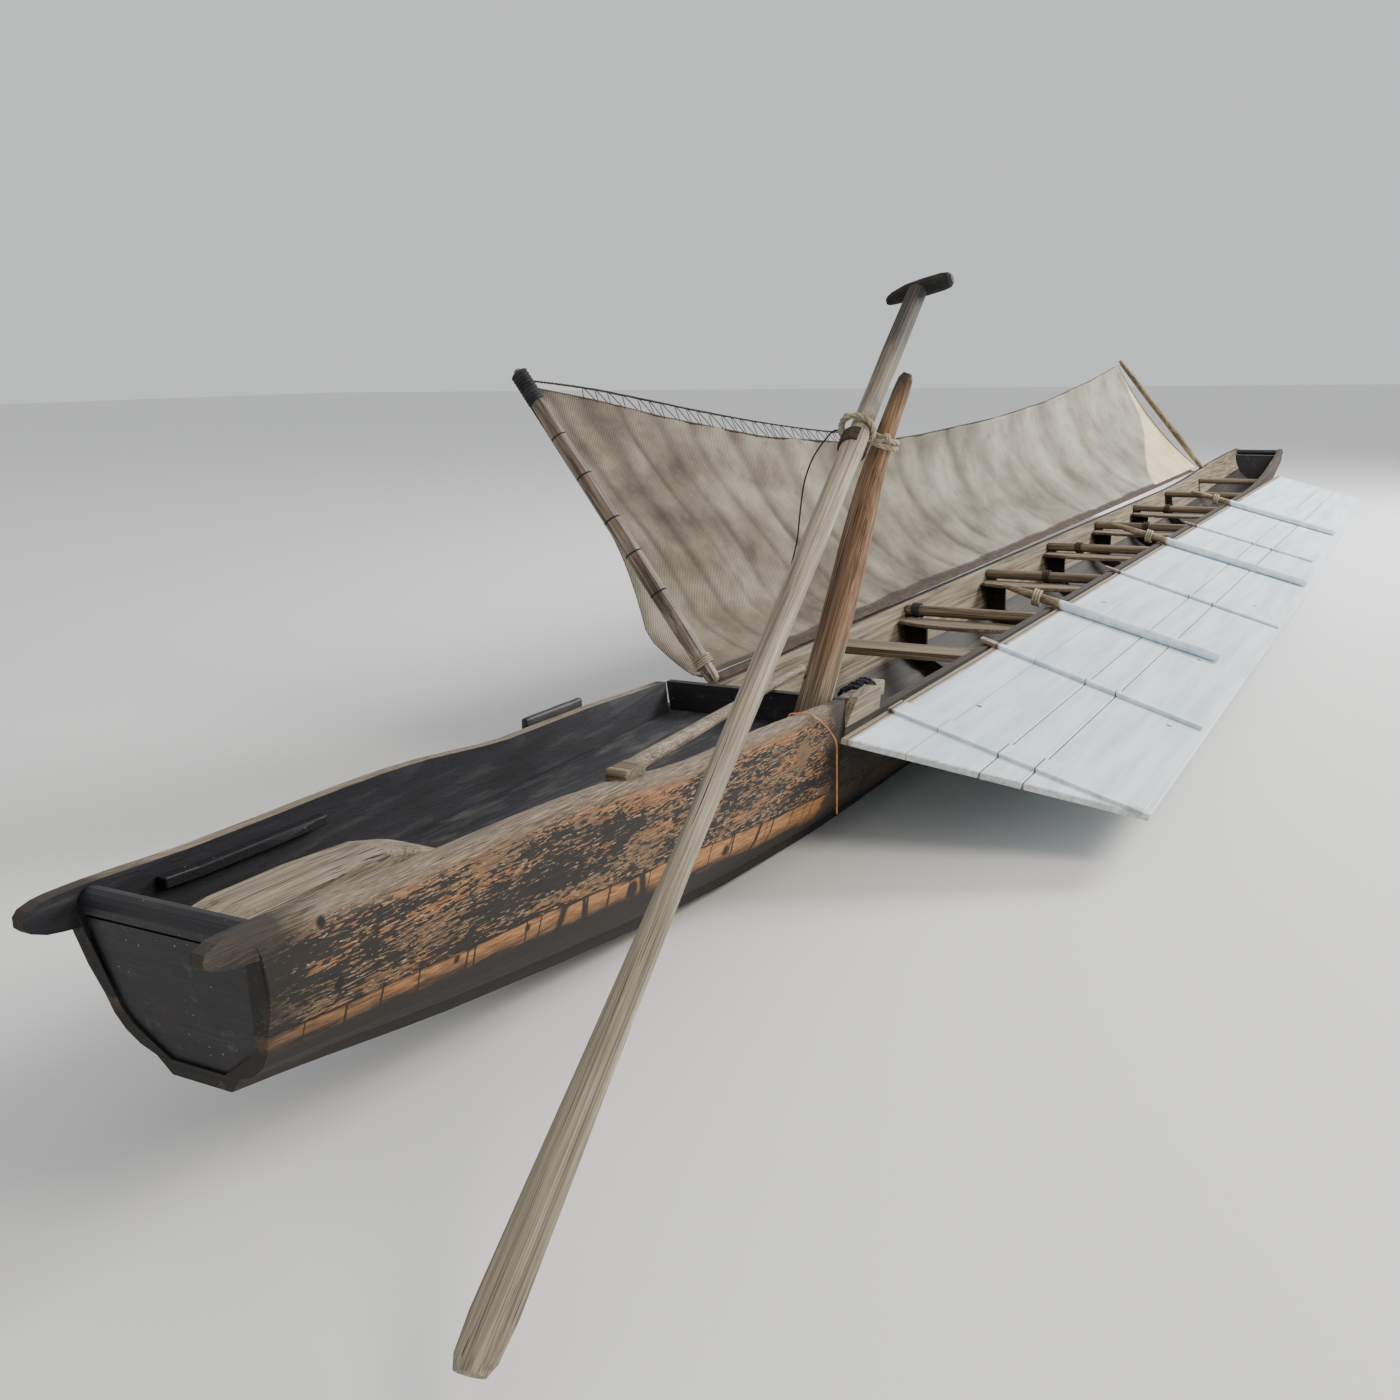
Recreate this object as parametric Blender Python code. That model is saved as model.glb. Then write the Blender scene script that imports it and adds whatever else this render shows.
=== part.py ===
"""A slender wooden fishing boat with a sloping white board, a net screen and a post-hung oar.

X runs from the stern to the bow, Y to port and Z up, in metres.
The origin lies under the middle of the flat bottom.
"""
import math

import bmesh
import bpy
from mathutils import Matrix, Vector

SEAT = 0.0003                   # gap left between pieces that touch

# hull: what drives its shape
SIDE_THICK = 0.028              # side and bilge planks
BOTTOM_THICK = 0.030
STERN_END = -6.086              # the transom's top edge
BOW_END = 6.120
END_RAKE = 0.200                # how far the ends lean in, per metre of height
RAKE_RUN = 0.55                 # the lean fades out over this length
SHEER_REF = 0.508
COCKPIT_END = -4.068            # the raised cockpit side stops here
BUTTS = (-3.900, 3.900)         # the bottom and the bilge planks are pieced together here
BOTTOM_BUTT = 0.0               # the bottom's long middle is pieced once more, amidships
GUNWALE = 0.340
EAR_OUT = 0.098                 # side planks run past the transom as rounded ears
EAR_DEEP_PORT = 0.062
EAR_DEEP_STARBOARD = 0.044
# an ear's shape: how far out, how far its top has dropped, and its depth as a share
EAR_STEPS = [(EAR_OUT, 0.020, 0.62), (EAR_OUT - 0.010, 0.009, 0.80), (EAR_OUT - 0.035, 0.002, 0.98),
             (EAR_OUT - 0.060, 0.000, 1.06), (0.004, 0.000, 1.14)]

# the side's top edge, as (along, height)
COCKPIT_SHEER = [(-6.22, 0.505), (-6.09, 0.506), (-5.80, 0.493), (-5.40, 0.488), (-5.20, 0.478),
                 (-5.05, 0.462), (-4.85, 0.444), (-4.50, 0.436), (-4.068, 0.416)]
MAIN_SHEER = [(-4.068, GUNWALE), (3.30, GUNWALE), (4.00, 0.357), (4.60, 0.391), (5.20, 0.430),
              (5.80, 0.462), (6.12, 0.476), (6.25, 0.478)]
# the flat bottom's height, and the half-breadths at gunwale, chine and bottom edge
BOTTOM_RISE = [(-6.25, 0.205), (-6.09, 0.187), (-5.94, 0.171), (-5.68, 0.138), (-5.38, 0.104),
               (-5.04, 0.067), (-4.62, 0.029), (-4.20, 0.009), (-3.80, 0.000), (3.80, 0.000),
               (4.25, 0.009), (4.68, 0.029), (5.10, 0.067), (5.45, 0.105), (5.74, 0.140),
               (5.98, 0.171), (6.12, 0.187), (6.25, 0.205)]
GUNWALE_HALF = [(-6.25, 0.196), (-6.09, 0.200), (-5.60, 0.224), (-5.00, 0.250), (-4.50, 0.271),
                (-4.00, 0.288), (-3.20, 0.298), (-2.20, 0.300), (2.20, 0.300), (3.40, 0.296),
                (4.30, 0.282), (5.00, 0.258), (5.60, 0.228), (6.12, 0.194), (6.25, 0.190)]
CHINE_HALF = [(-6.25, 0.173), (-6.09, 0.177), (-5.60, 0.203), (-5.00, 0.229), (-4.50, 0.248),
              (-4.00, 0.263), (-3.20, 0.272), (-2.20, 0.274), (2.20, 0.274), (3.40, 0.270),
              (4.30, 0.256), (5.00, 0.234), (5.60, 0.205), (6.12, 0.173), (6.25, 0.169)]
BOTTOM_HALF = [(-6.25, 0.084), (-5.96, 0.096), (-5.50, 0.115), (-5.00, 0.133), (-4.30, 0.152),
               (-3.50, 0.160), (3.50, 0.160), (4.40, 0.150), (5.10, 0.128), (5.60, 0.106),
               (6.10, 0.080), (6.25, 0.072)]
CHINE_HIGH = [(-6.25, 0.325), (-5.96, 0.306), (-5.40, 0.276), (-4.80, 0.226), (-4.20, 0.178),
              (-3.50, 0.152), (-2.50, 0.148), (2.50, 0.148), (3.60, 0.156), (4.40, 0.184),
              (5.10, 0.232), (5.70, 0.280), (6.12, 0.310), (6.25, 0.318)]
# how far the bottom planks' edges slope in below
BOTTOM_SLANT = [(-6.25, 0.028), (-5.70, 0.020), (-5.00, 0.012), (5.00, 0.012), (5.70, 0.020), (6.25, 0.028)]
# how far the planks bow out between their edges
BILGE_BULGE = [(-6.25, 0.021), (-5.60, 0.021), (-5.00, 0.020), (-4.20, 0.016), (4.20, 0.016),
               (5.00, 0.020), (5.60, 0.021), (6.25, 0.021)]
SIDE_BULGE = [(-6.25, 0.022), (-5.60, 0.012), (-5.00, 0.004), (-4.50, 0.000), (4.50, 0.000),
              (5.00, 0.004), (5.60, 0.012), (6.25, 0.022)]

# frames and beams
FRAME_FIRST = -2.10
FRAME_STEP = 1.08
FRAME_COUNT = 6
FRAME_WIDE = 0.040
FRAME_DEEP = 0.042
BEAM_R = 0.022
BEAM_TOP = 0.334
BULKHEAD_X = (-4.048, -4.020)
BULKHEAD_TOP = 0.413
THWART_X = (-2.97, -2.83)
THWART_TOP = 0.326
BOW_BEAM_X = 4.55

# cockpit: a high deck, and a heavy timber that lies on it and runs aft to the transom
DECK_X = (-5.530, BULKHEAD_X[0] - SEAT)
DECK_TOP = 0.333
DECK_THICK = 0.022
SLAT_PORT_X = (-5.930, -5.520)  # slats nailed along the inside of the cockpit
SLAT_STARBOARD_X = (-5.300, -4.950)
SLAT_DROP = 0.030               # their tops lie this far under the side's
SLAT_WIDE = 0.024
SLAT_DEEP = 0.020

# rowing post and oar
POST_AXIS_LOW = Vector((-4.1290, -0.1243, 0.0755))
POST_TOP = Vector((-4.000, -0.428, 1.265))
POST_FOOT = DECK_TOP + SEAT
# the post's radius and how square it is, by height
POST_SHAPE = [(0.38, 0.0420, 0.10), (0.50, 0.0400, 0.10), (0.60, 0.0395, 0.09), (0.70, 0.0390, 0.08),
              (0.80, 0.0380, 0.07), (0.90, 0.0360, 0.05), (0.98, 0.0330, 0.02), (1.04, 0.0290, 0.0),
              (1.085, 0.0265, 0.0), (1.15, 0.0240, 0.0), (1.22, 0.0220, 0.0), (1.250, 0.0190, 0.0),
              (1.265, 0.0110, 0.0)]
# the post is not quite straight: how far it bows to port, by height
POST_BEND = [(0.335, 0.000), (0.600, 0.003), (0.830, 0.012), (1.020, 0.018), (1.120, 0.012), (1.265, 0.000)]
POST_CORNER = Vector((-0.87, -0.49, 0.0))       # one of its edges faces this way
OAR_HOLD = Vector((-4.100, -0.339, 1.126))      # where the rope holds the oar
OAR_AFT = Vector((-0.888, -0.146, -0.436)).normalized()
OAR_R = 0.026
# the oar's half-width and half-thickness by the distance aft of the rope
OAR_SHAPE = [(-0.845, 0.0285, 0.0280), (-0.45, 0.0285, 0.0280), (-0.20, 0.0265, 0.0265),
             (0.013, 0.0260, 0.0260), (0.035, 0.0300, 0.0285), (0.10, 0.0310, 0.0295),
             (0.15, 0.0285, 0.0285), (0.50, 0.0280, 0.0270), (1.05, 0.0250, 0.0240),
             (1.50, 0.0215, 0.0200), (1.75, 0.0255, 0.0165), (1.95, 0.0290, 0.0140),
             (2.15, 0.0330, 0.0120), (2.34, 0.0360, 0.0105), (2.40, 0.0320, 0.0095), (2.42, 0.0240, 0.0080)]
GROMMET_Z = 1.085               # the rope's ring round the post sits a little lower
GROMMET_R = 0.0353              # to the middle of the rope
EYE_R = 0.042
OAR_TOP_RUN = 0.845             # from the rope up to the handle
HANDLE_HALF = 0.112
HANDLE_R = 0.027

# cords, by the points that their routes pass
POST_CORD_R = 0.0022
POST_CORD = [(-4.1094, -0.2820, 1.1260), (-4.1105, -0.2730, 1.1240), (-4.1060, -0.2570, 1.1130),
             (-4.1020, -0.2290, 1.0820), (-4.1000, -0.2070, 1.0490), (-4.1000, -0.1900, 1.0070),
             (-4.1000, -0.1810, 0.9710), (-4.1000, -0.1720, 0.9060), (-4.1000, -0.1640, 0.8400),
             (-4.1060, -0.1510, 0.7790), (-4.1120, -0.1370, 0.7200), (-4.1140, -0.1320, 0.6500),
             (-4.1150, -0.1310, 0.6200)]
STRING_R = 0.0024
GUNWALE_STRING = [(-4.3350, -0.2415, 0.4040), (-4.3330, -0.2415, 0.4200), (-4.3270, -0.2460, 0.4316),
                  (-4.3160, -0.2600, 0.4326), (-4.3020, -0.2745, 0.4322), (-4.2900, -0.2845, 0.4286),
                  (-4.2600, -0.2842, 0.4120), (-4.2180, -0.2838, 0.3900), (-4.1860, -0.2855, 0.3680),
                  (-4.1720, -0.2915, 0.3500), (-4.1670, -0.2990, 0.3340), (-4.1660, -0.3030, 0.3150),
                  (-4.1660, -0.3035, 0.2800), (-4.1660, -0.3035, 0.2200), (-4.1660, -0.3035, 0.1740),
                  (-4.1660, -0.3035, 0.1340)]

# the white board, hinged on the starboard gunwale
BOARD_SLOPE = math.radians(15)
BOARD_AXIS = Vector((0.0, -0.300, GUNWALE + SEAT))
BOARD_THICK = 0.018
BOARD_IN = 0.012
BOARD_NEAR_IN = -4.160
BOARD_NEAR_OUT = -3.860
BOARD_FAR = 4.900
BOARD_EDGE = [(-4.2, 0.768), (-2.0, 0.757), (0.0, 0.750), (2.5, 0.715), (4.0, 0.680), (4.95, 0.640)]

# the net screen on the port gunwale
NET_LEAN = math.radians(36.2)
POLE_R = 0.027
POLE_TIP_R = 0.019
NET_NEAR = Vector((-3.745, 0.286, GUNWALE + SEAT + POLE_R))     # the poles' feet on the gunwale
NET_FAR = Vector((4.700, 0.256, 0.3975 + SEAT + POLE_R))
NET_FAR_TOP = 4.480
NET_NEAR_LONG = 1.140
NET_FAR_LONG = 1.050
NET_TOP = [(-3.74, 1.108), (-3.35, 1.028), (-2.98, 0.936), (-2.34, 0.806), (-1.45, 0.705),
           (-0.72, 0.702), (0.60, 0.730), (1.79, 0.790), (3.33, 0.915), (4.48, 1.030)]
NET_BELLY = 0.120
NET_NEAR_BAG = 0.080            # the cloth's slack bag low down at the near pole


def clear_scene():
    for obj in list(bpy.data.objects):
        bpy.data.objects.remove(obj, do_unlink=True)


def make_material(name, rgb, roughness):
    """A plain wood, rope, canvas or paint colour."""
    material = bpy.data.materials.new(name)
    material.use_nodes = True
    shader = material.node_tree.nodes["Principled BSDF"]
    shader.inputs["Base Color"].default_value = (rgb[0], rgb[1], rgb[2], 1.0)
    shader.inputs["Roughness"].default_value = roughness
    return material


def curve_at(points, x):
    """Smooth height of a hand-set curve at x, with no overshoot between its points."""
    if x <= points[0][0]:
        return points[0][1]
    if x >= points[-1][0]:
        return points[-1][1]
    slopes = []
    for (x0, y0), (x1, y1) in zip(points, points[1:]):
        slopes.append((y1 - y0) / (x1 - x0))
    tangents = [slopes[0]]
    for before, after in zip(slopes, slopes[1:]):
        same_way = before * after > 0
        tangents.append(2 * before * after / (before + after) if same_way else 0.0)
    tangents.append(slopes[-1])
    for i in range(len(points) - 1):
        x0, y0 = points[i]
        x1, y1 = points[i + 1]
        if x <= x1:
            break
    run = x1 - x0
    t = (x - x0) / run
    h00 = 2 * t ** 3 - 3 * t ** 2 + 1
    h10 = t ** 3 - 2 * t ** 2 + t
    h01 = -2 * t ** 3 + 3 * t ** 2
    h11 = t ** 3 - t ** 2
    return h00 * y0 + h10 * run * tangents[i] + h01 * y1 + h11 * run * tangents[i + 1]


def new_object(name, mesh, material, smooth=False, pivot=Vector((0, 0, 0))):
    """Put a mesh, given in boat coordinates, into the scene with its origin at the pivot."""
    mesh.transform(Matrix.Translation(-Vector(pivot)))
    mesh.materials.append(material)
    for face in mesh.polygons:
        face.use_smooth = smooth
    obj = bpy.data.objects.new(name, mesh)
    obj.location = pivot
    bpy.context.scene.collection.objects.link(obj)
    return obj


def loft(name, rings, material, smooth=False, pivot=Vector((0, 0, 0))):
    """A closed solid through a row of rings that all have the same number of points."""
    bm = bmesh.new()
    rows = []
    for ring in rings:
        rows.append([bm.verts.new(point) for point in ring])
    count = len(rings[0])
    for row, following in zip(rows, rows[1:]):
        for i in range(count):
            j = (i + 1) % count
            bm.faces.new((row[i], row[j], following[j], following[i]))
    bm.faces.new(list(reversed(rows[0])))
    bm.faces.new(rows[-1])
    bmesh.ops.recalc_face_normals(bm, faces=bm.faces)
    mesh = bpy.data.meshes.new(name)
    bm.to_mesh(mesh)
    bm.free()
    return new_object(name, mesh, material, smooth, pivot)


def circle_ring(centre, along, radius, sides, second_radius=None, across=None):
    """Points of a circle, or of an ellipse with its first radius along the direction across."""
    along = Vector(along).normalized()
    if across is None:
        across = along.cross(Vector((0, 0, 1)))
        if across.length < 0.1:
            across = Vector((0, 1, 0))
    across = Vector(across)
    across = (across - along * across.dot(along)).normalized()
    other = along.cross(across)
    second = radius if second_radius is None else second_radius
    ring = []
    for i in range(sides):
        turn = 2 * math.pi * i / sides
        ring.append(Vector(centre) + across * radius * math.cos(turn) + other * second * math.sin(turn))
    return ring


def rod(name, stops, along, material, sides=14, pivot=Vector((0, 0, 0))):
    """A round piece given as (centre, radius) stops."""
    rings = [circle_ring(centre, along, radius, sides) for centre, radius in stops]
    return loft(name, rings, material, True, pivot)


# hull sections

def sheer_at(x):
    return curve_at(COCKPIT_SHEER if x < COCKPIT_END else MAIN_SHEER, x)


def raked(x, y, z):
    """Lean a hull point in at the ends, so that stem and stern slope as the transom does."""
    lean = 0.0
    if x < STERN_END + RAKE_RUN:
        share = min(1.0, (STERN_END + RAKE_RUN - x) / RAKE_RUN)
        lean = (SHEER_REF - z) * END_RAKE * share
    if x > BOW_END - RAKE_RUN:
        share = min(1.0, (x - BOW_END + RAKE_RUN) / RAKE_RUN)
        lean = -(SHEER_REF - z) * END_RAKE * share
    return Vector((x + lean, y, z))


def side_half(x, z):
    """Outer half-breadth of the side plank at a height."""
    low = curve_at(CHINE_HIGH, x)
    high = max(curve_at(MAIN_SHEER if x > COCKPIT_END else COCKPIT_SHEER, x), low + 0.1)
    share = (z - low) / (high - low)
    # the bulge runs straight between the heights at which the plank has its points
    within = min(max(share, 0.0), 1.0) * 4
    step = min(int(within), 3)
    bows = (0.0, 0.75, 1.0, 0.75, 0.0)
    bulge = curve_at(SIDE_BULGE, x) * (bows[step] + (bows[step + 1] - bows[step]) * (within - step))
    return curve_at(CHINE_HALF, x) + share * (curve_at(GUNWALE_HALF, x) - curve_at(CHINE_HALF, x)) + bulge


def bilge_points(x, inset):
    """The bilge plank's surface from chine to bottom edge, moved inward by the inset."""
    top = Vector((curve_at(CHINE_HALF, x), curve_at(CHINE_HIGH, x)))
    low = Vector((curve_at(BOTTOM_HALF, x), curve_at(BOTTOM_RISE, x) + BOTTOM_THICK + SEAT))
    along = low - top
    outward = Vector((-along.y, along.x)).normalized()
    if outward.x < 0:
        outward = -outward
    points = [Vector((top.x - inset, top.y))]
    for share in (0.25, 0.5, 0.75):
        bow = curve_at(BILGE_BULGE, x) * 4 * share * (1 - share)
        points.append(top + along * share + outward * (bow - inset))
    points.append(Vector((low.x - inset * 1.15, low.y)))
    return points


def hull_stations(start, end):
    """Places along the hull where its planks have a section, closer together at the ends."""
    fitted = [STERN_END + 0.006, STERN_END + 0.034, BOW_END - 0.034, BOW_END - 0.006]
    fitted += [DECK_X[0], BULKHEAD_X[0], BULKHEAD_X[1], BUTTS[0], BOTTOM_BUTT, BUTTS[1]]
    fitted += SLAT_PORT_X + SLAT_STARBOARD_X
    for i in range(FRAME_COUNT):
        middle = FRAME_FIRST + i * FRAME_STEP
        fitted += [middle - FRAME_WIDE / 2, middle + FRAME_WIDE / 2]
    places = [x for x in fitted if start + 0.002 < x < end - 0.002]
    count = 34
    for i in range(1, count):
        turn = math.pi * i / count
        x = (STERN_END + BOW_END) / 2 - (BOW_END - STERN_END) / 2 * math.cos(turn)
        if start + 0.03 < x < end - 0.03 and min(abs(x - f) for f in fitted) > 0.04:
            places.append(x)
    return [start] + sorted(places) + [end]


def side_ring(x, low, high, side):
    """Section of a side plank between two heights, on side +1 (port) or -1."""
    heights = [high + (low - high) * share for share in (0.0, 0.25, 0.5, 0.75, 1.0)]
    ring = [raked(x, side * side_half(x, z), z) for z in heights]
    ring += [raked(x, side * (side_half(x, z) - SIDE_THICK), z) for z in reversed(heights)]
    return ring


def build_side_plank(name, side, wood):
    deep = EAR_DEEP_PORT if side > 0 else EAR_DEEP_STARBOARD
    rings = []
    for back, drop, depth in EAR_STEPS:
        x = STERN_END - back
        rings.append(side_ring(x, sheer_at(x) - deep * depth, sheer_at(x) - drop, side))
    for x in hull_stations(STERN_END, COCKPIT_END - 0.0005):
        rings.append(side_ring(x, curve_at(CHINE_HIGH, x) + SEAT, sheer_at(x), side))
    for x in hull_stations(COCKPIT_END + 0.0005, BOW_END):
        rings.append(side_ring(x, curve_at(CHINE_HIGH, x) + SEAT, sheer_at(x), side))
    for out, drop, depth in reversed(EAR_STEPS):
        x = BOW_END + out
        rings.append(side_ring(x, sheer_at(x) - deep * depth, sheer_at(x) - drop, side))
    return loft(name, rings, wood)


def plank_spans(names, butts):
    """The lengths of a pieced plank from stern to bow, as (name, start, end)."""
    gap = SEAT / 2
    starts = [STERN_END] + [x + gap for x in butts]
    ends = [x - gap for x in butts] + [BOW_END]
    return list(zip(names, starts, ends))


def build_bilge_plank(name, side, start, end, wood):
    rings = []
    for x in hull_stations(start, end):
        ring = []
        for point in bilge_points(x, 0.0):
            ring.append(raked(x, side * point.x, point.y))
        for point in reversed(bilge_points(x, SIDE_THICK)):
            ring.append(raked(x, side * point.x, point.y))
        rings.append(ring)
    return loft(name, rings, wood)


def build_bottom(name, start, end, wood):
    rings = []
    for x in hull_stations(start, end):
        half = curve_at(BOTTOM_HALF, x)
        low = curve_at(BOTTOM_RISE, x)
        high = low + BOTTOM_THICK
        under = half - curve_at(BOTTOM_SLANT, x)
        rings.append([raked(x, -under, low), raked(x, under, low), raked(x, half, high), raked(x, -half, high)])
    return loft(name, rings, wood)


def inner_side(x, top, slack):
    """The inside of the hull from a height on the side down to the bottom, as (half, height)."""
    chine = curve_at(CHINE_HIGH, x)
    points = []
    for share in (0.0, 0.33, 0.67):
        height = top + (chine - top) * share
        points.append(Vector((side_half(x, height) - SIDE_THICK - slack, height)))
    bilge = bilge_points(x, SIDE_THICK)
    points.append(Vector((bilge[0].x - slack, chine)))
    for point in bilge[1:-1]:
        points.append(Vector((point.x - slack, point.y + slack)))
    points.append(Vector((bilge[-1].x - slack * 1.5, bilge[-1].y + slack * 0.5)))
    return points


def cross_ring(x, top, slack):
    """A full section that fills the hull up to a height."""
    half = inner_side(x, top, slack)
    ring = [raked(x, -point.x, point.y) for point in half]
    ring += [raked(x, point.x, point.y) for point in reversed(half)]
    return ring


def build_plate(name, x_range, top, wood):
    rings = [cross_ring(x, top, SEAT * 2) for x in x_range]
    return loft(name, rings, wood)


def build_frame(index, wood):
    """A frame that follows the inside of the hull from beam to beam end."""
    middle = FRAME_FIRST + index * FRAME_STEP
    top = BEAM_TOP - 2 * BEAM_R - SEAT
    rings = []
    for x in (middle - FRAME_WIDE / 2, middle + FRAME_WIDE / 2):
        outer = inner_side(x, top, SEAT * 2)
        inner = inner_side(x, top, FRAME_DEEP)
        inner[-1] = Vector((inner[-1].x, outer[-1].y + FRAME_DEEP))
        ring = [Vector((x, -point.x, point.y)) for point in outer]
        ring += [Vector((x, point.x, point.y)) for point in reversed(outer)]
        ring += [Vector((x, point.x, point.y)) for point in inner]
        ring += [Vector((x, -point.x, point.y)) for point in reversed(inner)]
        rings.append(ring)
    return loft("frame_%d" % (index + 1), rings, wood)


def build_beam(name, x, wood):
    centre_z = BEAM_TOP - BEAM_R
    half = side_half(x, centre_z - BEAM_R) - SIDE_THICK - SEAT * 2
    stops = []
    for y, radius in ((-half, BEAM_R * 0.9), (-half + 0.01, BEAM_R), (half - 0.01, BEAM_R), (half, BEAM_R * 0.9)):
        stops.append((Vector((x, y, centre_z)), radius))
    return rod(name, stops, (0, 1, 0), wood)


def build_thwart(wood):
    low = THWART_TOP - 0.026
    rings = []
    for x in THWART_X:
        half = side_half(x, low) - SIDE_THICK - SEAT * 2
        ring = [Vector((x, -half, low)), Vector((x, half, low))]
        ring += [Vector((x, half, THWART_TOP)), Vector((x, -half, THWART_TOP))]
        rings.append(ring)
    return loft("thwart_plank", rings, wood)


def build_deck(wood):
    """The cockpit's deck boards, fitted between the side planks."""
    rings = []
    low = DECK_TOP - DECK_THICK
    places = [x for x in hull_stations(STERN_END, COCKPIT_END) if DECK_X[0] < x]
    for x in [DECK_X[0]] + places + [DECK_X[1]]:
        under = side_half(x, low) - SIDE_THICK - SEAT * 3
        over = side_half(x, DECK_TOP) - SIDE_THICK - SEAT * 3
        ring = [Vector((x, -under, low)), Vector((x, under, low))]
        ring += [Vector((x, over, DECK_TOP)), Vector((x, -over, DECK_TOP))]
        rings.append(ring)
    return loft("cockpit_deck", rings, wood)


def build_slat(name, side, x_range, wood):
    """A narrow slat along the inside of the cockpit's side, below its top edge."""
    rings = []
    places = [x for x in hull_stations(STERN_END, COCKPIT_END) if x_range[0] <= x <= x_range[1]]
    for x in places:
        high = sheer_at(x) - SLAT_DROP
        low = high - SLAT_DEEP
        ring = []
        for z in (high, low):
            ring.append(raked(x, side * (side_half(x, z) - SIDE_THICK - SEAT * 2), z))
        for z in (low, high):
            ring.append(raked(x, side * (side_half(x, z) - SIDE_THICK - SLAT_WIDE), z))
        rings.append(ring)
    return loft(name, rings, wood)


def build_stern_timber(wood):
    """The heavy timber from the transom down to the deck, as (along, right, left, top, underside)."""
    rings = []
    for x, right, left, top, low in ((-6.031, -0.084, 0.030, 0.466, 0.402), (-5.960, -0.090, 0.036, 0.473, 0.392),
                                     (-5.800, -0.086, 0.034, 0.474, 0.372), (-5.644, -0.078, 0.028, 0.468, 0.350),
                                     (-5.535, -0.062, 0.052, 0.436, 0.336), (-5.500, -0.056, 0.060, 0.424, 0.3333),
                                     (-5.448, -0.050, 0.068, 0.402, 0.3333)):
        edge = 0.010
        ring = [Vector((x, left - edge, top)), Vector((x, right + edge, top - 0.002))]
        ring += [Vector((x, right, top - edge)), Vector((x, right + 0.004, low))]
        ring += [Vector((x, left - 0.004, low)), Vector((x, left, top - edge))]
        rings.append(ring)
    return loft("stern_timber", rings, wood)


def build_side_chock(wood):
    """A chock on the starboard gunwale that carries on from the cockpit's side."""
    outline = ((-4.066, 0.0), (-3.822, 0.0), (-3.828, 0.064), (-3.870, 0.076), (-3.930, 0.080),
               (-4.000, 0.070), (-4.036, 0.034))
    rings = []
    for inset in (0.0, SIDE_THICK - 0.002):
        ring = []
        for x, up in outline:
            z = GUNWALE + SEAT + up
            ring.append(Vector((x, -(side_half(-4.0, GUNWALE) + up * 0.12 - inset), z)))
        rings.append(ring)
    return loft("side_chock", rings, wood)


def build_loose_pole(wood):
    """A pole lying along the cockpit, on the inwale and over the top of the bulkhead."""
    aft = Vector((-5.040, -0.1960, 0.4655))
    fore = Vector((-3.725, -0.010, 0.4132))
    along = fore - aft
    stops = []
    for share, radius in ((0.0, 0.0150), (0.015, 0.0185), (0.35, 0.0165), (0.76, 0.0118), (0.955, 0.0100),
                          (0.965, 0.0125), (0.99, 0.0125), (1.0, 0.0080)):
        stops.append((aft + along * share, radius))
    return rod("loose_pole", stops, along, wood, 12)


def build_transom_rail(name, x, wood):
    top = sheer_at(x) - 0.004
    radius = 0.024
    narrowest = min(side_half(x, top), side_half(x, top - 2 * radius))
    half = narrowest - SIDE_THICK - SEAT * 3
    centre = raked(x, 0, top - radius)
    stops = []
    for y in (-half, half):
        stops.append((Vector((centre.x, y, centre.z)), radius))
    return rod(name, stops, (0, 1, 0), wood)


# rowing post, rope and oar

def post_point(z):
    """The post's centre at a height."""
    share = (z - POST_AXIS_LOW.z) / (POST_TOP.z - POST_AXIS_LOW.z)
    return POST_AXIS_LOW + (POST_TOP - POST_AXIS_LOW) * share + Vector((0, curve_at(POST_BEND, z), 0))


def post_along(z):
    """The post's direction at a height."""
    return (post_point(z + 0.03) - post_point(z - 0.03)).normalized()


def post_ring(z, along, radius, squareness):
    """A ring of the post, pushed out at its four edges by the squareness."""
    centre = post_point(z)
    ring = []
    for i, point in enumerate(circle_ring(centre, along, radius, 16, None, POST_CORNER)):
        push = 1 + squareness * math.cos(4 * 2 * math.pi * i / 16)
        ring.append(centre + (point - centre) * push)
    return ring


def build_post(wood):
    rings = [post_ring(POST_FOOT, Vector((0, 0, 1)), 0.0450, 0.08)]
    for z, radius, squareness in POST_SHAPE:
        rings.append(post_ring(z, post_along(min(z, 1.23)), radius, squareness))
    return loft("rowing_post", rings, wood, True)


def build_oar(wood, pivot):
    side = OAR_AFT.cross(Vector((0, 0, 1))).normalized()
    rings = []
    for run, half, thick in OAR_SHAPE:
        centre = OAR_HOLD + OAR_AFT * run
        rings.append(circle_ring(centre, OAR_AFT, half, 16, thick, side))
    return loft("oar_shaft_and_blade", rings, wood, True, pivot)


def build_handle(wood, pivot):
    centre = OAR_HOLD - OAR_AFT * (OAR_TOP_RUN + SEAT + HANDLE_R)
    along = Vector((0.157, -0.957, 0.30))
    along = (along - OAR_AFT * along.dot(OAR_AFT)).normalized()
    stops = []
    for run, share in ((-0.90, 0.34), (-0.85, 0.52), (-0.70, 0.72), (-0.30, 0.94), (0.20, 1.0), (0.70, 0.98),
                       (0.88, 0.84), (0.96, 0.50)):
        droop = Vector((0, 0, -0.012 * max(0.0, -run) ** 2))
        stops.append((centre + along * HANDLE_HALF * run + droop, HANDLE_R * share))
    return rod("oar_handle", stops, along, wood, 14, pivot)


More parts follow.
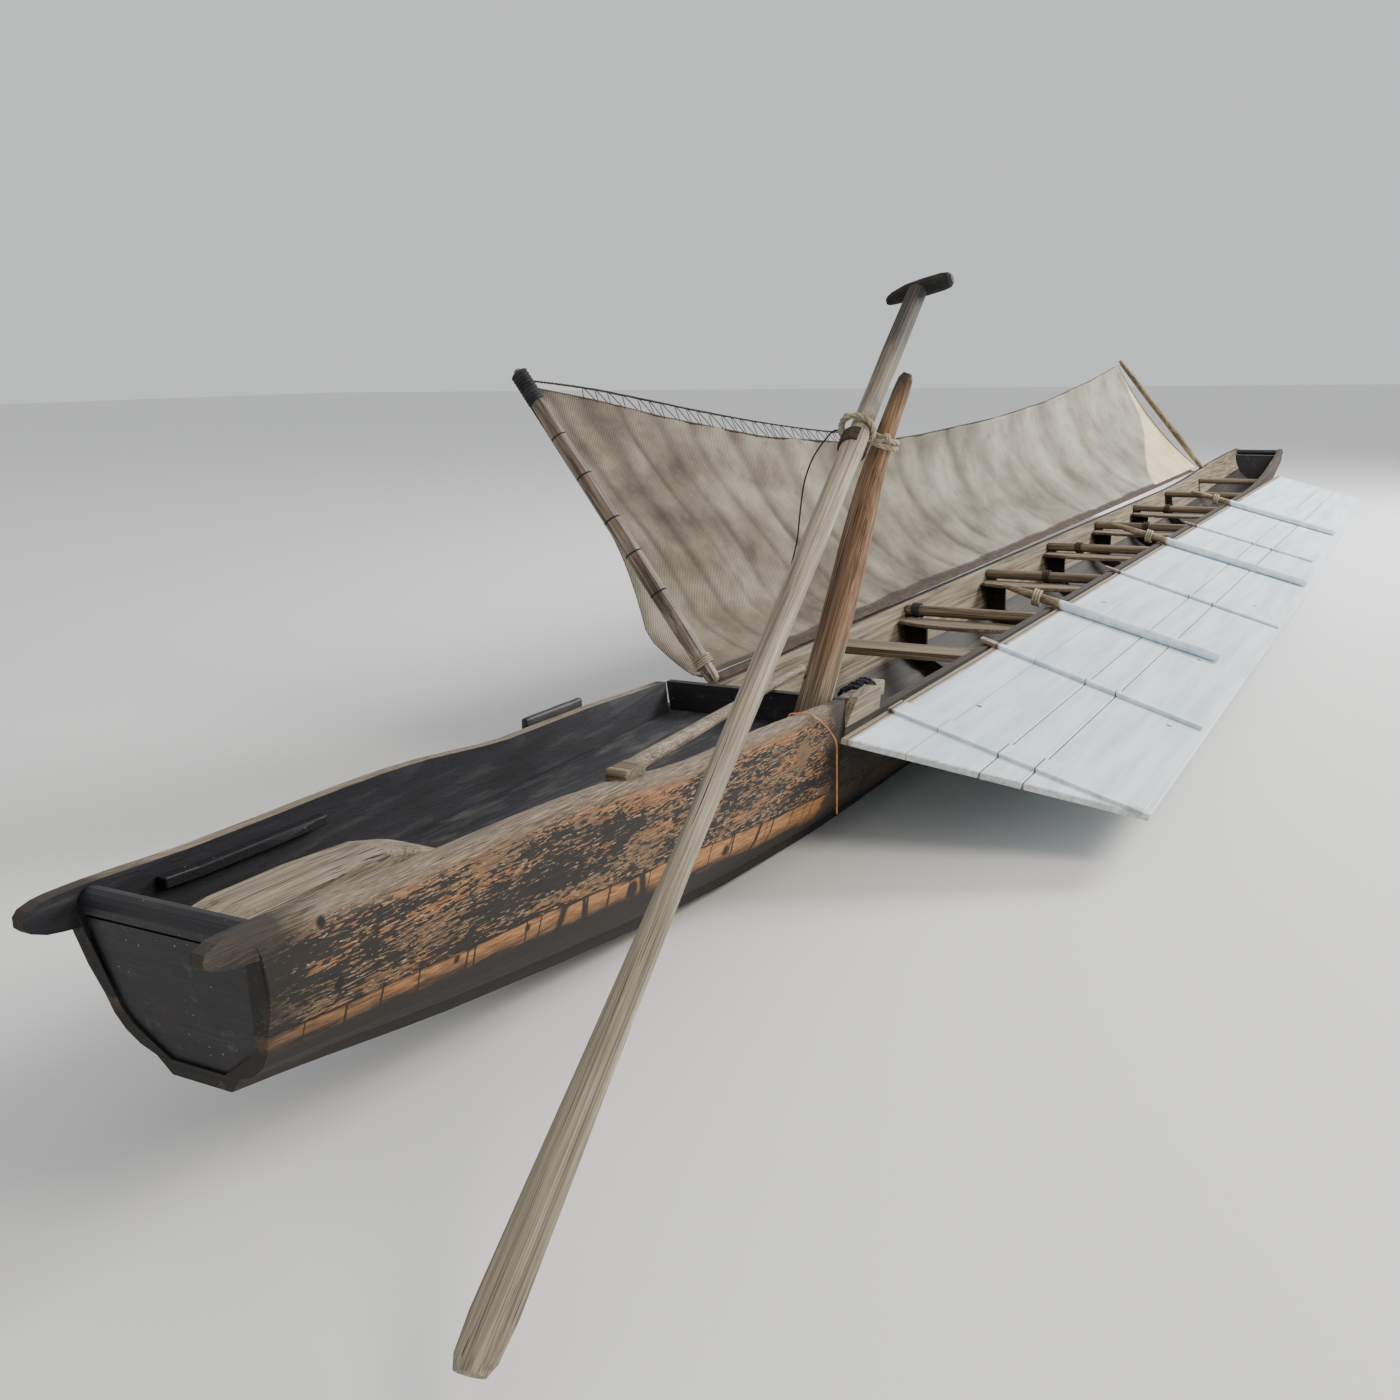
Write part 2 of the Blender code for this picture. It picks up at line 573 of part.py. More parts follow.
def ring_solid(name, centre, axis, major, minor, material, sides=20, pivot=Vector((0, 0, 0))):
    """A rope ring: a round section carried about an axis."""
    spin = axis.to_track_quat("Z", "Y").to_matrix().to_4x4()
    place = Matrix.Translation(centre) @ spin
    bm = bmesh.new()
    rows = []
    for i in range(sides):
        turn = 2 * math.pi * i / sides
        row = []
        for j in range(8):
            roll = 2 * math.pi * j / 8
            reach = major + minor * math.cos(roll)
            point = Vector((reach * math.cos(turn), reach * math.sin(turn), minor * math.sin(roll)))
            row.append(bm.verts.new(place @ point))
        rows.append(row)
    for i in range(sides):
        for j in range(8):
            a, b = rows[i], rows[(i + 1) % sides]
            bm.faces.new((a[j], b[j], b[(j + 1) % 8], a[(j + 1) % 8]))
    bmesh.ops.recalc_face_normals(bm, faces=bm.faces)
    mesh = bpy.data.meshes.new(name)
    bm.to_mesh(mesh)
    bm.free()
    return new_object(name, mesh, material, True, pivot)


def unite(body, extras):
    """Join overlapping solids into the first one."""
    for extra in extras:
        join = body.modifiers.new("join", "BOOLEAN")
        join.operation = "UNION"
        join.solver = "EXACT"
        join.object = extra
    bpy.context.view_layer.update()
    scene_state = bpy.context.evaluated_depsgraph_get()
    mesh = bpy.data.meshes.new_from_object(body.evaluated_get(scene_state))
    body.modifiers.clear()
    body.data = mesh
    for extra in extras:
        bpy.data.objects.remove(extra, do_unlink=True)
    return body


def ring_nearest(centre, axis, major, target):
    """The point of a ring's centre line that is nearest to a target."""
    away = target - centre
    away = away - axis * away.dot(axis)
    return centre + away.normalized() * major


def build_grommet(rope, pivot):
    """Rope ring round the post, with a second ring that the oar runs through."""
    post_axis = post_along(GROMMET_Z)
    post_centre = post_point(GROMMET_Z)
    ring = ring_solid("rope_grommet", post_centre, post_axis, GROMMET_R, 0.008, rope, 20, pivot)
    # the oar lies against one side of its eye, on the line it pivots about
    aside = OAR_AFT.cross(Vector((0, 0, 1))).normalized()
    eye_centre = OAR_HOLD + aside * (0.034 - OAR_R - SEAT * 2)
    eye = ring_solid("grommet_eye", eye_centre, OAR_AFT, EYE_R, 0.008, rope)
    near = OAR_HOLD
    for _ in range(4):
        far = ring_nearest(eye_centre, OAR_AFT, EYE_R, near)
        near = ring_nearest(post_centre, post_axis, GROMMET_R, far)
    across = (far - near).normalized()
    knot = rod("grommet_knot", [(near - across * 0.004, 0.006), (near + across * 0.003, 0.010),
                                (far - across * 0.003, 0.010), (far + across * 0.004, 0.006)], across, rope, 8)
    return unite(ring, [eye, knot])


# cords

def smooth_route(points, spacing):
    """Points at an even spacing along a smooth curve through a route's own points."""
    knots = [Vector(point) for point in points]
    knots = [knots[0] * 2 - knots[1]] + knots + [knots[-1] * 2 - knots[-2]]
    fine = []
    for a, b, c, d in zip(knots, knots[1:], knots[2:], knots[3:]):
        for i in range(20):
            t = i / 20
            bend = (a * 2 - b * 5 + c * 4 - d) * t * t + (b * 3 - a - c * 3 + d) * t ** 3
            fine.append((b * 2 + (c - a) * t + bend) / 2)
    fine.append(knots[-2])
    route = [fine[0]]
    run = 0.0
    for before, after in zip(fine, fine[1:]):
        run += (after - before).length
        if run >= spacing:
            route.append(after)
            run = 0.0
    route[-1] = fine[-1]
    return route


def build_cord(name, points, radius, material, pivot=Vector((0, 0, 0))):
    route = smooth_route(points, radius * 5)
    curve = bpy.data.curves.new(name, "CURVE")
    curve.dimensions = "3D"
    curve.bevel_depth = radius
    curve.bevel_resolution = 2
    curve.use_fill_caps = True
    spline = curve.splines.new("POLY")
    spline.points.add(len(route) - 1)
    for slot, point in zip(spline.points, route):
        place = point - Vector(pivot)
        slot.co = (place.x, place.y, place.z, 1.0)
    curve.materials.append(material)
    obj = bpy.data.objects.new(name, curve)
    obj.location = pivot
    bpy.context.scene.collection.objects.link(obj)
    return obj


# the white board

def board_point(x, w, n):
    """A point of the board's plane: w outboard down the slope, n up from its top face."""
    y = BOARD_AXIS.y - w * math.cos(BOARD_SLOPE) - n * math.sin(BOARD_SLOPE)
    z = BOARD_AXIS.z - w * math.sin(BOARD_SLOPE) + n * math.cos(BOARD_SLOPE)
    return Vector((x, y, z))


def board_near(w):
    return BOARD_NEAR_IN + (BOARD_NEAR_OUT - BOARD_NEAR_IN) * w / 0.765


def build_board_plank(name, inner, outer, wood):
    """A long plank of the board; an outer width of None follows the board's tapering edge."""
    places = [0.0, 0.2, 0.4, 0.6, 0.8, 0.92, 1.0]
    rings = []
    for share in places:
        ring = []
        for w_end, n in ((0, 0.0), (1, 0.0), (1, -BOARD_THICK), (0, -BOARD_THICK)):
            w = inner
            if w_end == 1:
                w = outer if outer is not None else 0.765
            x = board_near(w) + (BOARD_FAR - board_near(w)) * share
            if w_end == 1 and outer is None:
                w = curve_at(BOARD_EDGE, x)
            ring.append(board_point(x, w, n))
        rings.append(ring)
    return loft(name, rings, wood, False, BOARD_AXIS)


def build_batten(name, start, end, wide, thick, wood):
    """A flat batten across the board, given as (along, outboard) ends."""
    rings = []
    for x, w in (start, end):
        ring = [board_point(x - wide / 2, w, SEAT), board_point(x + wide / 2, w, SEAT)]
        ring += [board_point(x + wide / 2, w, SEAT + thick), board_point(x - wide / 2, w, SEAT + thick)]
        rings.append(ring)
    return loft(name, rings, wood, False, BOARD_AXIS)


def build_board_pole(name, start, end, radius, wood):
    a = board_point(start[0], start[1], SEAT + radius)
    b = board_point(end[0], end[1], SEAT + radius)
    along = b - a
    stops = [(a, radius * 0.55), (a + along * 0.12, radius * 0.9), (a + along * 0.3, radius),
             (a + along * 0.97, radius), (b, radius * 0.8)]
    return rod(name, stops, along, wood, 12, BOARD_AXIS)


# the net screen

def net_point(x, s, m):
    """A point of the screen: s up the slope from the poles' feet, m outboard of their axes."""
    foot = NET_NEAR + (NET_FAR - NET_NEAR) * (x - NET_NEAR.x) / (NET_FAR.x - NET_NEAR.x)
    y = foot.y + s * math.sin(NET_LEAN) + m * math.cos(NET_LEAN)
    z = foot.z + s * math.cos(NET_LEAN) - m * math.sin(NET_LEAN)
    return Vector((x, y, z))


def pole_radius(up):
    """A bamboo's radius by the distance up from its foot."""
    return curve_at([(0.0, POLE_R), (0.65, POLE_R * 0.99), (1.115, POLE_TIP_R)], up)


def build_net_pole(name, foot, top, wood):
    along = (top - foot).normalized()
    stops = []
    for back, radius in ((0.95, 0.31), (0.85, 0.52), (0.6, 0.72), (0.0, 0.82), (-6.0, 1.0)):
        stops.append((foot - along * POLE_R * back, POLE_R * radius))
    length = (top - foot).length
    for share in (0.4, 0.6, 0.8, 0.97):
        stops.append((foot + along * length * share, pole_radius(length * share)))
    stops.append((top, POLE_TIP_R * 0.6))
    return rod(name, stops, along, wood, 12, NET_NEAR)


def build_net(cloth):
    """The net as one thin sheet that sags between the poles and bellies outboard."""
    columns = 30
    rows = 8
    thick = 0.005
    bm = bmesh.new()
    sheets = []
    for skin in (0.0, thick):
        grid = []
        for i in range(columns + 1):
            share = (i / columns) ** 1.25
            line = []
            for j in range(rows + 1):
                up = j / rows
                end = NET_FAR.x + (NET_FAR_TOP - NET_FAR.x) * up
                x = NET_NEAR.x + (end - NET_NEAR.x) * share
                hem = 0.012 - 0.030 * math.sin(math.pi * share)
                height = hem + (curve_at(NET_TOP, x) - hem) * up
                reach = pole_radius(height) + SEAT * 2
                swell = (1 - (1 - share) ** 5) * (0.45 + 0.55 * math.sin(math.pi * share) ** 0.5)
                belly = NET_BELLY * swell * math.sin(math.pi * up) ** 0.8
                bag = min(1.0, up / 0.16) ** 0.6 * min(1.0, max(0.0, (0.48 - up) / 0.28)) ** 1.5
                belly += NET_NEAR_BAG * bag * (1 - share) ** 5
                line.append(bm.verts.new(net_point(x, height, reach + belly + skin)))
            grid.append(line)
        sheets.append(grid)
    inner, outer = sheets
    for grid in sheets:
        for i in range(columns):
            for j in range(rows):
                bm.faces.new((grid[i][j], grid[i + 1][j], grid[i + 1][j + 1], grid[i][j + 1]))
    for i in range(columns):
        for j in (0, rows):
            bm.faces.new((inner[i][j], inner[i + 1][j], outer[i + 1][j], outer[i][j]))
    for j in range(rows):
        for i in (0, columns):
            bm.faces.new((inner[i][j], inner[i][j + 1], outer[i][j + 1], outer[i][j]))
    bmesh.ops.recalc_face_normals(bm, faces=bm.faces)
    mesh = bpy.data.meshes.new("net_sheet")
    bm.to_mesh(mesh)
    bm.free()
    return new_object("net_sheet", mesh, cloth, True, NET_NEAR)


def main():
    clear_scene()
    side_wood = make_material("weathered_side_wood", (0.20, 0.13, 0.075), 0.8)
    dark_wood = make_material("tarred_wood", (0.03, 0.026, 0.024), 0.75)
    grey_wood = make_material("grey_driftwood", (0.20, 0.17, 0.14), 0.85)
    post_wood = make_material("brown_post_wood", (0.22, 0.14, 0.09), 0.75)
    white_paint = make_material("worn_white_paint", (0.68, 0.73, 0.77), 0.5)
    bamboo = make_material("old_bamboo", (0.19, 0.15, 0.11), 0.6)
    cloth = make_material("net_cloth", (0.32, 0.28, 0.22), 0.95)
    rope = make_material("pale_rope", (0.42, 0.36, 0.27), 0.95)
    tarred_cord = make_material("tarred_cord", (0.035, 0.028, 0.022), 0.8)
    twine = make_material("orange_twine", (0.36, 0.15, 0.06), 0.85)

    for part, start, end in plank_spans(("stern", "aft", "fore", "bow"), (BUTTS[0], BOTTOM_BUTT, BUTTS[1])):
        build_bottom("bottom_" + part, start, end, dark_wood)
    for part, start, end in plank_spans(("stern", "middle", "bow"), BUTTS):
        build_bilge_plank("bilge_port_" + part, 1, start, end, dark_wood)
        build_bilge_plank("bilge_starboard_" + part, -1, start, end, dark_wood)
    build_side_plank("side_plank_port", 1, side_wood)
    build_side_plank("side_plank_starboard", -1, side_wood)
    transom_top = sheer_at(STERN_END) - 0.054
    build_plate("stern_transom", (STERN_END + 0.006, STERN_END + 0.034), transom_top, dark_wood)
    build_transom_rail("stern_rail", STERN_END + 0.020, dark_wood)
    bow_top = sheer_at(BOW_END) - 0.054
    build_plate("bow_transom", (BOW_END - 0.034, BOW_END - 0.006), bow_top, dark_wood)
    build_transom_rail("bow_rail", BOW_END - 0.020, dark_wood)
    build_plate("cockpit_bulkhead", BULKHEAD_X, BULKHEAD_TOP, dark_wood)
    for i in range(FRAME_COUNT):
        build_frame(i, dark_wood)
        build_beam("beam_%d" % (i + 1), FRAME_FIRST + i * FRAME_STEP, grey_wood)
    build_beam("bow_beam", BOW_BEAM_X, grey_wood)
    build_thwart(grey_wood)
    build_deck(dark_wood)
    build_slat("inner_slat_port", 1, SLAT_PORT_X, dark_wood)
    build_slat("inner_slat_starboard", -1, SLAT_STARBOARD_X, grey_wood)
    build_stern_timber(grey_wood)
    build_side_chock(grey_wood)
    build_loose_pole(grey_wood)

    build_post(post_wood)
    build_grommet(rope, post_point(GROMMET_Z))
    build_oar(grey_wood, OAR_HOLD)
    build_handle(grey_wood, OAR_HOLD)
    build_cord("post_cord", POST_CORD, POST_CORD_R, tarred_cord, post_point(GROMMET_Z))
    build_cord("gunwale_string", GUNWALE_STRING, STRING_R, twine)

    build_board_plank("board_plank_inner", BOARD_IN, 0.350, white_paint)
    build_board_plank("board_plank_middle", 0.352, 0.456, white_paint)
    build_board_plank("board_plank_outer", 0.458, None, white_paint)
    build_batten("batten_1", (-3.78, 0.014), (-3.835, 0.752), 0.105, 0.010, white_paint)
    build_batten("batten_2", (-2.81, -0.040), (-2.94, 0.742), 0.034, 0.014, white_paint)
    build_board_pole("board_pole_1", (-1.985, -0.215), (-2.01, 0.640), 0.019, grey_wood)
    build_batten("batten_3", (-0.93, -0.045), (-1.05, 0.745), 0.022, 0.012, white_paint)
    build_board_pole("board_pole_2", (0.175, -0.270), (0.150, 0.730), 0.019, grey_wood)
    build_batten("batten_4", (1.05, -0.045), (1.00, 0.680), 0.022, 0.012, white_paint)
    build_board_pole("board_pole_3", (2.335, -0.235), (2.310, 0.680), 0.019, grey_wood)

    build_net_pole("net_pole_near", NET_NEAR, net_point(NET_NEAR.x, NET_NEAR_LONG, 0.0), bamboo)
    build_net_pole("net_pole_far", NET_FAR, net_point(NET_FAR_TOP, NET_FAR_LONG, 0.0), bamboo)
    build_net(cloth)


main()
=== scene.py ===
"""Looks of a slender wooden fishing boat with a white side board, a net screen and a post-hung oar.

X runs from the stern to the bow, Y to port and Z up, in metres, as in the frame.
"""
import math

import bmesh
import bpy
from mathutils import Matrix, Vector, noise


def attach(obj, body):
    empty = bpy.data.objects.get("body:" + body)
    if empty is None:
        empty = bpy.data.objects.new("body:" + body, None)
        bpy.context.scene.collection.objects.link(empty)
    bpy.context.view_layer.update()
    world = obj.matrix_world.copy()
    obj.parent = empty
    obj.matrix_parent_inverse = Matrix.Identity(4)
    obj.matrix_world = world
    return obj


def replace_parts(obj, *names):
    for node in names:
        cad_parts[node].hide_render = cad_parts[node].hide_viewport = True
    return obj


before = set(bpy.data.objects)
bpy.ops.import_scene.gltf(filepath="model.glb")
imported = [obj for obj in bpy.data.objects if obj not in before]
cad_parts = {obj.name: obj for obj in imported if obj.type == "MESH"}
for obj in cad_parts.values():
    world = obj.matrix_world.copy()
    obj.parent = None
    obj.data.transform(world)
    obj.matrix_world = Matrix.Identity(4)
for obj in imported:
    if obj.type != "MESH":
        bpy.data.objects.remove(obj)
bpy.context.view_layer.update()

# camera, from the photograph: its place, where it looks and the lens
CAMERA_PLACE = Vector((-7.5, -1.7114, 1.295))
CAMERA_YAW = 0.496
CAMERA_PITCH = 0.176
CAMERA_ROLL = 0.017
FRAME_SIZE = 1400
LENS_IN_FRAME = 1435.72
FRAME_LIFT = 80

# the hull's top edge and its chine, as (along, height)
SHEER = [(-6.25, 0.505), (-6.09, 0.506), (-5.80, 0.493), (-5.40, 0.488), (-5.20, 0.478), (-5.05, 0.462),
         (-4.85, 0.444), (-4.50, 0.436), (-4.10, 0.418), (-4.05, 0.340), (3.30, 0.340), (4.00, 0.357),
         (4.60, 0.391), (5.20, 0.430), (5.80, 0.462), (6.25, 0.478)]
CHINE = [(-6.25, 0.325), (-5.96, 0.306), (-5.40, 0.276), (-4.80, 0.226), (-4.20, 0.178), (-3.50, 0.152),
         (-2.50, 0.148), (2.50, 0.148), (3.60, 0.156), (4.40, 0.184), (5.10, 0.232), (5.70, 0.280),
         (6.25, 0.318)]
CURVE_REACH = 6.5               # curves over the hull's length run from minus to plus this
COCKPIT_FORE = -4.05

# frames and beams
FRAME_FIRST = -2.10
FRAME_STEP = 1.08
FRAME_COUNT = 6

# driving sizes of the post, the oar, the board and the screen
POST_LOW = Vector((-4.1290, -0.1243, 0.0755))
POST_TOP = Vector((-4.000, -0.428, 1.265))
POST_BEND = [(0.335, 0.000), (0.600, 0.003), (0.830, 0.012), (1.020, 0.018), (1.120, 0.012), (1.265, 0.000)]
OAR_HOLD = Vector((-4.100, -0.339, 1.126))
OAR_AFT = Vector((-0.888, -0.146, -0.436)).normalized()
ROPE_R = 0.008
POST_RING_R = 0.0353
EYE_R = 0.042
GROMMET_Z = 1.085
BOARD_SLOPE = math.radians(15)
BOARD_AXIS = Vector((0.0, -0.300, 0.3403))
NET_LEAN = math.radians(36.2)
POLE_R = 0.027
NET_NEAR = Vector((-3.745, 0.286, 0.3673))
NET_FAR = Vector((4.700, 0.256, 0.4248))
NET_FAR_TOP = 4.480
NET_TOP = [(-3.74, 1.108), (-3.35, 1.028), (-2.98, 0.936), (-2.34, 0.806), (-1.45, 0.705),
           (-0.72, 0.702), (0.60, 0.730), (1.79, 0.790), (3.33, 0.915), (4.48, 1.030)]
NET_BELLY = 0.120
NET_NEAR_BAG = 0.080
# the screen's folds: where each one starts at the top edge, and its half-width
NET_FOLDS = [(-3.60, 0.022), (-3.42, 0.030), (-3.24, 0.016), (-3.05, 0.030), (-2.82, 0.026), (-2.56, 0.034),
             (-2.20, 0.045), (-1.86, 0.034), (-1.45, 0.055), (-1.05, 0.045), (-0.70, 0.065), (-0.25, 0.050),
             (0.25, 0.080), (0.90, 0.070), (1.60, 0.110), (2.40, 0.090), (3.20, 0.120)]
# the lighter canvas let in beside the far pole: its aft edge, as (up the slope, along)
PANEL_EDGE = [(-0.05, 2.95), (0.09, 3.26), (0.42, 4.14), (0.59, 4.38), (1.06, 4.52)]
# the headrope above the cloth, as (along, up the slope)
HEADROPE = [(-3.745, 1.128), (-3.60, 1.112), (-3.34, 1.075), (-2.98, 1.005), (-2.70, 0.948),
            (-2.28, 0.872), (-1.80, 0.800), (-1.40, 0.757), (-1.05, 0.716)]

# cords, by the points that their routes pass
POST_CORD_R = 0.0022
POST_CORD = [(-4.1094, -0.2820, 1.1260), (-4.1105, -0.2730, 1.1240), (-4.1060, -0.2570, 1.1130),
             (-4.1020, -0.2290, 1.0820), (-4.1000, -0.2070, 1.0490), (-4.1000, -0.1900, 1.0070),
             (-4.1000, -0.1810, 0.9710), (-4.1000, -0.1720, 0.9060), (-4.1000, -0.1640, 0.8400),
             (-4.1060, -0.1510, 0.7790), (-4.1120, -0.1370, 0.7200), (-4.1140, -0.1320, 0.6500),
             (-4.1150, -0.1310, 0.6200)]
STRING_R = 0.0024
GUNWALE_STRING = [(-4.3350, -0.2415, 0.4040), (-4.3330, -0.2415, 0.4200), (-4.3270, -0.2460, 0.4316),
                  (-4.3160, -0.2600, 0.4326), (-4.3020, -0.2745, 0.4322), (-4.2900, -0.2845, 0.4286),
                  (-4.2600, -0.2842, 0.4120), (-4.2180, -0.2838, 0.3900), (-4.1860, -0.2855, 0.3680),
                  (-4.1720, -0.2915, 0.3500), (-4.1670, -0.2990, 0.3340), (-4.1660, -0.3030, 0.3150),
                  (-4.1660, -0.3035, 0.2800), (-4.1660, -0.3035, 0.2200), (-4.1660, -0.3035, 0.1740),
                  (-4.1660, -0.3035, 0.1340)]


def linear(hex_colour):
    """An sRGB hex colour as linear RGBA."""
    parts = [int(hex_colour[i:i + 2], 16) / 255 for i in (1, 3, 5)]
    light = [c / 12.92 if c <= 0.04045 else ((c + 0.055) / 1.055) ** 2.4 for c in parts]
    return (light[0], light[1], light[2], 1.0)


def at(points, x):
    """Height of a given line at x."""
    if x <= points[0][0]:
        return points[0][1]
    for (x0, y0), (x1, y1) in zip(points, points[1:]):
        if x <= x1:
            return y0 + (y1 - y0) * (x - x0) / (x1 - x0)
    return points[-1][1]


def add(tree, kind, links=None, stops=None, bend=None, **settings):
    """Add a node with its settings, its inputs by name or number, and its ramp stops or curve points."""
    node = tree.nodes.new(kind)
    for name, value in settings.items():
        setattr(node, name, value)
    for socket, value in (links or {}).items():
        if isinstance(value, bpy.types.NodeSocket):
            tree.links.new(value, node.inputs[socket])
        else:
            node.inputs[socket].default_value = value
    if stops:
        while len(node.color_ramp.elements) < len(stops):
            node.color_ramp.elements.new(0.5)
        for element, (place, colour) in zip(node.color_ramp.elements, stops):
            element.position = place
            element.color = linear(colour)
    if bend:
        line = node.mapping.curves[0]
        while len(line.points) < len(bend):
            line.points.new(0.5, 0.5)
        for point, (along, height) in zip(line.points, bend):
            point.location = (along, height)
        node.mapping.update()
    return node


# patterns that several materials share; each returns the socket to read

def start_material(name, roughness):
    """A new material with its node tree, its shader and the object's own coordinates."""
    material = bpy.data.materials.new(name)
    material.use_nodes = True
    tree = material.node_tree
    shader = tree.nodes["Principled BSDF"]
    shader.inputs["Roughness"].default_value = roughness
    place = add(tree, "ShaderNodeTexCoord").outputs["Object"]
    return material, tree, shader, place


def patches(tree, place, long, wide, detail=4.0, rough=0.6, lie=(1, 0, 0), shift=0.0):
    """Noise whose patches are long metres along the grain and wide metres across it."""
    turn = Vector(lie).to_track_quat("X", "Z").to_euler()
    across = add(tree, "ShaderNodeMapping", {0: place, 1: (shift, shift, shift), 2: turn, 3: (long, wide, wide)},
                 vector_type="TEXTURE")
    return add(tree, "ShaderNodeTexNoise", {"Vector": across.outputs[0], "Scale": 1.0, "Detail": detail,
                                            "Roughness": rough}).outputs[0]


def spread(tree, value, low, high):
    """The value spread so that it runs from 0 at low to 1 at high."""
    return add(tree, "ShaderNodeMapRange", {0: value, 1: low, 2: high, 3: 0.0, 4: 1.0}).outputs[0]


def sum_up(tree, operation, first, second, third=0.0):
    return add(tree, "ShaderNodeMath", {0: first, 1: second, 2: third}, operation=operation).outputs[0]


def ramp(tree, value, *stops):
    return add(tree, "ShaderNodeValToRGB", {0: value}, stops=stops).outputs[0]


def mix(tree, share, first, second):
    """Colours mixed by a share; a colour is a socket or a hex string."""
    first = linear(first) if isinstance(first, str) else first
    second = linear(second) if isinstance(second, str) else second
    return add(tree, "ShaderNodeMix", {0: share, 6: first, 7: second}, data_type="RGBA").outputs[2]


def axes(tree, place):
    return add(tree, "ShaderNodeSeparateXYZ", {0: place}).outputs


def over_curve(tree, place, points):
    """How far a point lies above a curve over the hull's length."""
    split = axes(tree, place)
    along = spread(tree, split[0], -CURVE_REACH, CURVE_REACH)
    bend = [((x + CURVE_REACH) / (2 * CURVE_REACH), z) for x, z in points]
    bend = [(0.0, bend[0][1])] + bend + [(1.0, bend[-1][1])]
    curve = add(tree, "ShaderNodeFloatCurve", {1: along}, bend=bend).outputs[0]
    return sum_up(tree, "SUBTRACT", split[2], curve)


def inner_face(tree, place):
    """1 on a plank's face that looks in over the boat's middle line, and 0 on its outside."""
    facing = axes(tree, add(tree, "ShaderNodeNewGeometry").outputs["Normal"])[1]
    outward = sum_up(tree, "MULTIPLY", facing, axes(tree, place)[1])
    return spread(tree, outward, -0.02, -0.07)


def spot(tree, place, centre, size, ragged=0.4):
    """1 at a spot and 0 away from it, with a ragged rim."""
    off = add(tree, "ShaderNodeVectorMath", {0: place, 1: centre}, operation="DISTANCE").outputs["Value"]
    rim = patches(tree, place, size * 0.8, size * 0.5, 3.0)
    off = sum_up(tree, "MULTIPLY_ADD", rim, size * ragged, off)
    return spread(tree, off, size * (1.0 + ragged / 2), size * (0.6 + ragged / 2))


def relief(tree, shader, height, deep):
    """Bump from a height pattern, deep in metres."""
    bump = add(tree, "ShaderNodeBump", {"Height": height, "Distance": deep, "Strength": 1.0})
    tree.links.new(bump.outputs[0], shader.inputs["Normal"])


def paint(tree, shader, colour):
    tree.links.new(colour, shader.inputs["Base Color"])


def stern_black_and_board_shadow(tree, place, colour):
    """Damp black at the stern's very end, and painted shadow in dark brown-black on the hull under the white board.
    """
    black_and_shadow_wobble = patches(tree, place, 0.12, 0.07, 5.0)
    along = sum_up(tree, "MULTIPLY_ADD", black_and_shadow_wobble, 0.16, axes(tree, place)[0])
    end = spread(tree, along, -5.86, -5.97)
    # painted shadow of the white board: dark brown-black on the hull forward of the cockpit
    under = spread(tree, along, -4.10, -4.04)
    both = sum_up(tree, "MULTIPLY", sum_up(tree, "MAXIMUM", end, under), 0.86)
    return mix(tree, both, colour, "#17130f")


